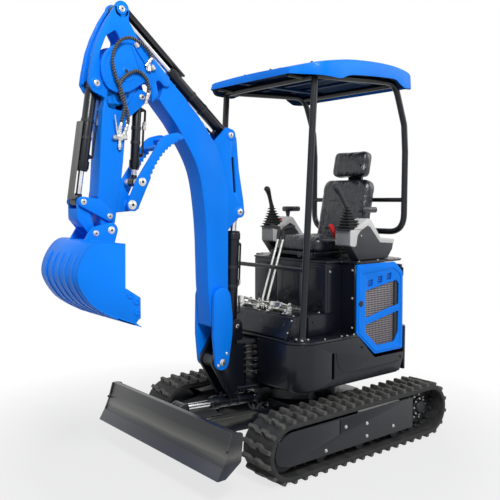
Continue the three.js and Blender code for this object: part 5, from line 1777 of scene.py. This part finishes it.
def swingPostPiece():
    parts = [coat(refined("swing_post", blackPaint, 3, segments=3), blackPaint)]
    post = pivot("boom_swing")
    for z in (242, -14):
        ring = turned([(0, 25), (0, 36), (8, 36), (10, 33), (10, 25)],
            Vector((post.x, 0, deckBase.z + z * mm)), alongZ, 28)
        parts.append(coat(ring, ironPaint))
    foot = pivot("boom_ram_swing")
    parts.append(pin(foot, 0, 0, 68.2, 18, 7, zinc))
    hoses = []
    for y in (-24, -8, 8, 24):
        start = Vector((post.x + 0.028, y * mm, deckBase.z + 0.03))
        run = [start + Vector(p) * mm for p in ((0, 0, 0), (26, 0, 40), (34, 0, 90))]
        hoses.append(coat(tube(run, 8), hoseRubber))
    return finished(parts + hoses, "swingPost", "swing_post", ["swing_post"])


swingPostPiece()


swingHoseSize = {"count": 5, "low": 60, "gap": 38, "spread": 88, "taper": 5, "radius": 7.5}


def swingHosePiece(size):
    # short hoses from the deck's front wall to the swing post
    parts = []
    for side in (-1, 1):
        for step in range(size["count"]):
            z = size["low"] + step * size["gap"]
            y = side * (size["spread"] - step * size["taper"])
            run = [up(404, y, z), up(424, y + side * 6, z + 2), up(450, y + side * 2, z + 10),
                up(470, side * 62, z + 6), up(478, side * 46, z)]
            parts.append(coat(tube(flow(run, 5), size["radius"], False, 12), hoseRubber))
            parts.append(coat(turned([(-14, 7), (-14, 11), (2, 11), (4, 9), (18, 9)], up(412, y, z), alongX,
                6), zinc))
    piece = finished(parts, "swingHoses", None, [])
    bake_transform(piece)


swingHosePiece(swingHoseSize)


boomSize = {
    "half": 62,
    "rear": [(-66, 248), (-67, 470), (-67, 704), (-68, 935), (-47, 1078), (2, 1218), (58, 1299), (126, 1388),
        (256, 1517), (362, 1613)],
    "belly": [(56, 215), (66, 340), (76, 482), (82, 709), (95, 879), (121, 1046), (161, 1156), (226, 1262),
        (290, 1354), (352, 1424), (388, 1466)],
    "tip": (591, 1588),
}


def boomPiece(size):
    half = size["half"]
    tx, tz = size["tip"]
    end = arc(tx, tz, 236, 209.5, 174.8, 8)
    outline = flow(size["belly"], 3) + end + list(reversed(flow(size["rear"], 3))) + [(-50, 222), (-20, 211),
        (15, 208), (44, 203)]
    side = rounded(outline, 0.001, 1)
    beam = plate(side, -half, half, boomPin, edge=9, segments=4)
    parts = [beam]
    ear = band([(0, 0, 47), (-6, 150, 67), (-8, 250, 68), (-3, 372, 60)])
    parts += platePair(ear, 73, 97, boomPin, edge=4, segments=3)
    web = [(-62, 208), (-20, 212), (20, 209), (52, 200), (54, 380), (-60, 380)]
    parts += platePair(rounded(web, 20), 58, 76, boomPin, edge=3)
    lug = rounded([(-62, 1352, 16), (-106, 1338, 26), (-133, 1290, 30), (-150, 1110, 60), (-183, 935, 80),
        (-190, 872, 30), (-150, 832, 26), (-92, 784, 40), (-55, 740, 10), (-50, 1078, 0), (2, 1218, 0),
        (30, 1262, 10)], 20, 6)
    slot = rounded([(-113, 1182), (-94, 1182), (-110, 976), (-130, 976)], 9, 4)
    parts += platePair(lug, 48, 61, boomPin, holes=[slot], edge=3)
    # black plates just inside the lugs close the slot, as painted shade in the slot
    slotShadeOutline = rounded([(-84, 1200), (-124, 1200), (-144, 960), (-104, 960)], 10)
    slotShadePlates = platePair(slotShadeOutline, 45.5, 48.4, boomPin, edge=0.8)
    for spot, radius in (((-91, 1308), 34), ((-157, 865), 34)):
        for facing in (-1, 1):
            place = off(boomPin, spot[0], facing * 60, spot[1])
            parts.append(turned([(-1, radius - 3), (1.5, radius), (3, radius - 2), (3, 22)], place,
                alongY * facing, 28))
    coatAll(parts, bluePaint)
    parts += [coat(part, blackPaint) for part in slotShadePlates]
    parts.append(pin(boomPin, 0, 0, 97, 19, 9, zinc))
    parts.append(pin(boomPin, -91, 1308, 61, 15, 6, zinc))
    parts += pinStubs(boomPin, -157, 865, 48, 61, 17, 8, zinc)
    for z in (96, -30):
        parts.append(bolt(off(boomPin, -30 if z > 0 else 30, 97, z * 0.5), alongY, 7))
    return finished(parts, "boomBeam", "boom", ["boom"])


boomPiece(boomSize)


def boomHeadPieces():
    tx, tz = boomSize["tip"]
    crown = arc(512, 1722, 26, 128, 40, 5) + [(548, 1718)]
    disc = arc(tx, tz, 138, 102, -34, 26) + flow([(tx + 96, tz - 96), (tx + 50, tz - 112),
        (tx - 10, tz - 104), (tx - 58, tz - 78), (tx - 92, tz - 56), (tx - 118, tz - 46), (tx - 144, tz - 66),
        (tx - 152, tz - 120)], 3)
    tail = [(436, 1446), (402, 1478), (404, 1500), (416, 1540), (419, 1556), (410, 1568), (392, 1566),
        (366, 1540), (346, 1532), (332, 1540), (330, 1556)]
    top = flow([(330, 1584), (362, 1612), (432, 1678), (500, 1742)], 3)
    outline = top + crown + disc + tail
    for label, side in (("left", 1), ("right", -1)):
        low, high = flank(side, 62.3, 74.3)
        cheek = plate(rounded(outline, 0.001, 1), low, high, boomPin, edge=3.5, segments=3)
        place = off(boomPin, tx, side * 74, tz)
        boss = turned([(-1, 52), (1, 54), (3, 52), (3, 30)], place, alongY * side, 36)
        rim = arc(tx, tz, 137, 66, -34, 26) + list(reversed(arc(tx, tz, 119, 66, -34, 26)))
        face = flank(side, 73.6, 76.5)
        ring = plate(rim, *face, boomPin, edge=1.3)
        # the doubler over the beam, and the pipe rail along the top of the head
        doubler = rounded([(tx - 33, tz + 132), (tx - 84, tz + 2), (tx - 104, tz - 40), (tx - 140, tz - 52),
            (tx - 156, tz - 80), (tx - 156, tz - 134), (402, 1484), (408, 1520), (416, 1556), (392, 1562),
            (366, 1536), (348, 1533), (337, 1548), (362, 1605), (430, 1670), (502, 1736), (528, 1740)], 10, 3)
        cover = plate(doubler, *flank(side, 74, 77.5), boomPin, edge=1.4)
        rail = band([(tx - 66, tz + 126, 17), (tx - 142, tz + 30, 17)])
        rail = plate(rail, *flank(side, 77, 86), boomPin, edge=3, segments=3)
        parts = [coat(part, bluePaint) for part in (cheek, boss, ring, cover, rail)]
        for x, z in ((-56, 136), (-150, 34)):
            spot = off(boomPin, tx + x, side * 88, tz + z)
            parts.append(coat(sleeve(13, 8, 12, spot, Vector((-86, 0, -102)), 6), zinc))
        finished(parts, label + "BoomCheek", "boom", [label + "_boom_cheek"])
    finished([pin(boomPin, tx, tz, 74.6, 25, 4, bluePaint)], "armPivotPin", "boom", ["arm_pivot_pin"])


boomHeadPieces()
print("boom done")


armSize = {
    "half": 55,
    "beam": [(-54, -30), (-40, -110), (-19, -167), (-6, -295), (8, -449), (27, -602), (46, -679), (58, -760),
        (74, -822), (100, -840), (128, -828), (138, -800),
             (146, -740), (157, -633), (151, -603), (136, -404), (122, -204), (106, -130), (96, -50),
             (84, 20), (40, 54), (-24, 40)],
}


def armPiece(size):
    half = size["half"]
    beam = plate(rounded(size["beam"], 18, 4), -half, half, armPin, edge=8, segments=4)
    parts = [beam]
    front = [(44, 322, 14), (92, 249, 60), (137, 159, 60), (165, 83, 60), (188, -17, 60), (198, -76, 24),
        (174, -116, 30), (109, -140, 30), (90, -190, 20), (20, -200, 10), (-30, -150, 20), (-80, -60, 30),
        (-112, 30, 40), (-112, 132, 30), (-66, 204, 60), (-30, 262, 30), (-34, 306, 8)]
    window = rounded([(44, 204, 12), (98, 166, 30), (132, 84, 20), (138, 40, 10), (112, 30, 20), (64, 72, 30),
        (20, 136, 20), (18, 160, 12)], 16, 5)
    crown = band([(7, 312, 41), (7, 306, 40)])
    for low, high in ((43, 55), (-55, -43)):
        parts.append(plate(rounded(front, 20, 5), low, high, armPin, holes=[window], edge=2.6, segments=3))
        parts.append(plate(crown, low, high, armPin, edge=2.6))
    # the folded front edge of the head
    edge = [(44, 318), (92, 246), (136, 157), (163, 82), (186, -17), (193, -74)]
    skin = flow(edge, 4) + list(reversed(flow([(x - 10, z - 3) for x, z in edge], 4)))
    parts.append(plate(skin, 28, 44, armPin, edge=1.5))
    parts.append(plate(skin, -44, -28, armPin, edge=1.5))
    parts.append(sleeve(55, 40, 58, armPin, alongY, 40))
    ear = band([(-108, -118, 36), (-10, -120, 60), (24, -230, 36)])
    parts += platePair(ear, 29, 46, armPin, edge=2.5)
    lug = band([(-19, -679, 34), (50, -600, 40), (80, -690, 30)])
    parts.append(plate(lug, -half + 2, half - 2, armPin, edge=4, segments=3))
    for x, z, radius, place in ((-19, -679, 30, half - 2), (103, -806, 32, half), (100, -736, 24, half),
            (152, -74, 30, half)):
        for side in (-1, 1):
            spot = off(armPin, x, side * place, z)
            parts.append(turned([(-1, radius), (1.6, radius), (2.8, radius - 2), (2.8, 14)], spot,
                alongY * side, 28))
    coatAll(parts, bluePaint)
    parts.append(pin(armPin, 152, -74, 57.8, 14, 5, zinc))
    parts += pinStubs(armPin, 7, 312, 43, 57, 14, 4, zinc)
    for side in (-1, 1):
        spot = Vector((armPin.x + 7 * mm, side * 54 * mm, armPin.z + 312 * mm))
        parts.append(coat(turned([(-8, 15), (-8, 30), (1, 30), (2.5, 28), (2.5, 15)], spot, alongY * side,
            36), bluePaint))
    parts.append(pin(armPin, -108, -118, 46, 13, 7, zinc))
    parts.append(pin(armPin, -19, -679, 90, 22, 8, zinc))
    parts.append(pin(armPin, 100, -736, 71, 12, 6, zinc))
    return finished(parts, "armBeam", "arm", ["arm"])


armPiece(armSize)


bucketSize = {
    "half": 215, "skin": 9,
    "shell": [(60, -52), (128, -44), (172, -62), (212, -108), (240, -168), (246, -226), (222, -286),
        (172, -352), (97, -405), (16, -446), (-58, -476)],
}


def bucketPiece(size):
    half = size["half"]
    outer = flow([(-12, -64)] + size["shell"], 3)
    skin = size["skin"]
    inner = []
    for before, here, after in zip(outer[:1] + outer[:-1], outer, outer[1:] + outer[-1:]):
        way = (Vector(after) - Vector(before)).normalized()
        inner.append((here[0] + way.y * skin, here[1] - way.x * skin))
    wrap = plate(rounded(outer + list(reversed(inner)), 0.001, 1), -half, half, bucketPin, edge=1.5)
    parts = [wrap]
    side = [(-12, -62)] + outer[1:] + [(-90, -440), (-92, -346), (-9, -288)]
    parts += platePair(rounded(side, 0.001, 1), half - 10, half - 0.5, bucketPin, edge=2)
    cutter = rounded([(-8, -282, 12), (-93, -338, 8), (-93, -444, 8), (-60, -458, 10), (-52, -372, 20),
        (10, -300, 10)], 8)
    parts += platePair(cutter, half - 14, half, bucketPin, edge=2)
    lip = rounded([(-106, -493, 2), (40, -437, 2), (36, -424, 4), (-62, -462, 4)], 3)
    parts.append(plate(lip, -half, half, bucketPin, edge=1.5))
    tooth = rounded([(-114, -496, 1), (6, -450, 6), (0, -432, 8), (-62, -454, 8)], 3)
    for y in (-168, -56, 56, 168):
        parts.append(plate(tooth, y - 22, y + 22, bucketPin, edge=3))
    strap = outer[12:30]
    grown = []
    for before, here, after in zip(strap[:1] + strap[:-1], strap, strap[1:] + strap[-1:]):
        way = (Vector(after) - Vector(before)).normalized()
        grown.append((here[0] - way.y * 3.5, here[1] + way.x * 3.5))
    for y in (-150, -75, 0, 75, 150):
        rib = grown + list(reversed(strap))
        parts.append(plate(rib, y - 11, y + 11, bucketPin, edge=1.2))
    ear = band([(0, 0, 38), (85, -14, 34), (118, -58, 30), (10, -74, 26)])
    parts += platePair(ear, 76, 90, bucketPin, edge=2.5)
    for x, z in ((-34, -322), (-70, -356), (-74, -412)):
        spot = Vector((bucketPin.x + x * mm, 0, bucketPin.z + z * mm))
        for way in (-alongY, alongY):
            parts.append(turned([(half - 1, 16), (half + 4, 16), (half + 5, 14), (half + 5, 8),
                (half + 2, 7)], spot, way, 24))
    coatAll(parts, bluePaint)
    parts.append(pin(bucketPin, 0, 0, 90, 17, 7, zinc))
    parts += pinStubs(bucketPin, 85, -14, 76, 90, 13, 7, zinc)
    return finished(parts, "diggingBucket", "bucket", ["bucket"])


bucketPiece(bucketSize)


def linkPieces():
    rod = (linkPin - rockerPin) / mm
    link = band([(0, 0, 25), (rod.x * 0.45, rod.z * 0.5 + 22, 30), (rod.x, rod.z, 26)])
    parts = platePair(link, 59.5, 71, rockerPin, edge=2.5)
    tie = sleeve(70, 7, 9, off(rockerPin, rod.x - 54, 0, rod.z - 37), alongY, 20)
    parts.append(tie)
    coatAll(parts, bluePaint)
    parts += pinStubs(rockerPin, rod.x, rod.z, 44, 71, 13, 7, zinc)
    finished(parts, "rockerLink", "rocker", ["rocker_link"])
    finished(coat(refined("push_link", bluePaint, 2), bluePaint), "pushLink", "push_link", ["push_link"])


linkPieces()

thumbSize = {"inner": 76, "outer": 90, "teeth": 11}


def thumbPiece(size):
    ends = [Vector((-112, 140)), Vector((-175, 290)), Vector((-300, 346))]
    outline = [(30, 4), (26, -18), (8, -32), (-16, -33), (-36, -20), (-44, 0), (-80, 74)]
    for i in range(size["teeth"]):
        for share, deep in ((0.0, 0), (0.5, 9), (0.99, 0)):
            t = (i + share) / size["teeth"]
            spot = ends[0] * (1 - t) ** 2 + ends[1] * 2 * t * (1 - t) + ends[2] * t ** 2
            way = ((ends[1] - ends[0]) * (1 - t) + (ends[2] - ends[1]) * t).normalized()
            outline.append((spot.x + way.y * deep, spot.y - way.x * deep))
    outline += flow([(-325, 361), (-290, 384), (-246, 379), (-184, 352), (-109, 246), (-70, 190), (-30, 130)],
        3)
    parts = platePair(outline, size["inner"], size["outer"], thumbPin, edge=2.2)
    for x, z, radius in ((-172, 302, 14), (-236, 352, 9)):
        parts.append(sleeve(77, radius - 3, radius, off(thumbPin, x, 0, z), alongY, 24))
    coatAll(parts, bluePaint)
    parts += pinStubs(thumbPin, -60, 119, 30, 90, 20, 8, zinc)
    return finished(parts, "gripThumb", "thumb", ["thumb"])


thumbPiece(thumbSize)
print("arm, bucket and thumb done")


hoseSize = {"radius": 8, "wrap": 1.6, "pitch": 13, "bow": 14, "lift": 0.6, "turnSteps": 6}


def hosePiece(points, y0, y1, name, body):
    # a hose in a spiral guard, with a zinc fitting on each end
    run = []
    count = len(points) - 1
    for i, (x, z) in enumerate(points):
        y = y0 + (y1 - y0) * i / count + hoseSize["bow"] * sin(pi * i / count)
        run.append(off(armPin, x, y, z))
    path = [Vector(p) for p in flow(run, 10)]
    hose = coat(tube(path, hoseSize["radius"], False, 12), hoseRubber)
    coil = []
    along = 0
    for here, after in zip(path, path[1:]):
        way = (after - here)
        side = way.cross(alongY).normalized()
        other = way.cross(side).normalized()
        for step in range(hoseSize["turnSteps"]):
            t = step / hoseSize["turnSteps"]
            turn = 2 * pi * (along + way.length * t) / (hoseSize["pitch"] * mm)
            out = (side * cos(turn) + other * sin(turn)) * (hoseSize["radius"] + hoseSize["lift"]) * mm
            coil.append(here + way * t + out)
        along += way.length
    # the spiral's light grey is painted glint on a black guard
    parts = [hose, coat(tube(coil, hoseSize["wrap"], False, 4), spiralGlint)]
    for end, near in ((path[0], path[1]), (path[-1], path[-2])):
        way = (near - end).normalized()
        fitting = turned([(-34, 6), (-34, 9.5), (-18, 9.5), (-16, 7), (-10, 7), (-10, 11.5), (4, 11.5),
            (6, 9.6), (22, 9.6), (24, 8)], end, way, 12)
        parts.append(coat(fitting, zinc))
    return finished(parts, name, body, [])


upperHose = [(-128, 62), (-141, 84), (-100, 133), (-13, 163), (55, 127), (86, 49), (68, -37), (38, -93),
    (14, -170), (27, -241), (36, -285)]
lowerHose = [(-122, -120), (-129, -78), (-118, -33), (-69, 4), (-11, -13), (38, -61), (36, -124), (3, -191),
    (-8, -250), (4, -290)]
crossing = hosePiece(upperHose, 92, 74, "upperHose", None)
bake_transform(crossing)
hosePiece(lowerHose, 74, 74, "lowerHose", "arm")


def valvePiece():
    core = off(armPin, 36, 66, -336)
    parts = [turned([(-40, 8), (-40, 12), (-16, 12), (-14, 16), (14, 16), (16, 12), (40, 12), (40, 8)], core,
        alongX, 12)]
    parts.append(turned([(-14, 13), (-12, 17), (12, 17), (14, 13)], core, alongY, 20))
    parts.append(turned([(12, 10), (30, 10), (32, 13), (44, 13)], core, alongZ, 6))
    parts.append(turned([(12, 10), (34, 10), (36, 13), (52, 13), (54, 8), (62, 8)], core, -alongZ, 6))
    parts.append(tube(elbowRun([core + Vector((0, 0.016, 0)), core + Vector((0.02, 0.018, 0)),
        core + Vector((0.034, 0.018, 0.11))], 8), 3.5, False, 8))
    clamp = block((10, 54, -350), (62, 62, -322), 2, 1, armPin)
    parts.append(clamp)
    elbowSpot = off(armPin, 6, 66, -330)
    parts.append(turned([(-8, 9), (-8, 13), (10, 13), (12, 10), (30, 10)], elbowSpot, alongZ, 6))
    coatAll(parts, zinc)
    return finished(parts, "armValve", "arm", [])


valvePiece()


def boomFittings():
    parts = []
    x, z = -128, 30
    spot = off(armPin, x, 84, z)
    parts.append(turned([(-18, 9), (-18, 13), (8, 13), (10, 10), (22, 10)], spot, alongZ, 12))
    parts.append(block((x - 16, 72, z - 14), (x + 16, 88, z + 6), 3, 2, armPin))
    coatAll(parts, zinc)
    return finished(parts, "boomFitting", "boom", [])


boomFittings()
print("hoses done")


# what stays of the CAD nodes gets its finish
keptFinish = {
    "blue_paint": bluePaint, "black_paint": blackPaint, "track_rubber": shadedBeltRubber, "cast_iron": ironPaint,
    "seat_vinyl": vinyl, "grip_rubber": bellows, "console_plastic": charcoal, "rod_chrome": chrome,
    "lever_steel": zinc,
}
for node in frame["nodes"].values():
    for place in node.material_slots:
        place.material = keptFinish.get(place.material.name, blackPaint)
for master in boltMaster.values():
    bpy.data.objects.remove(master)
print("finished")
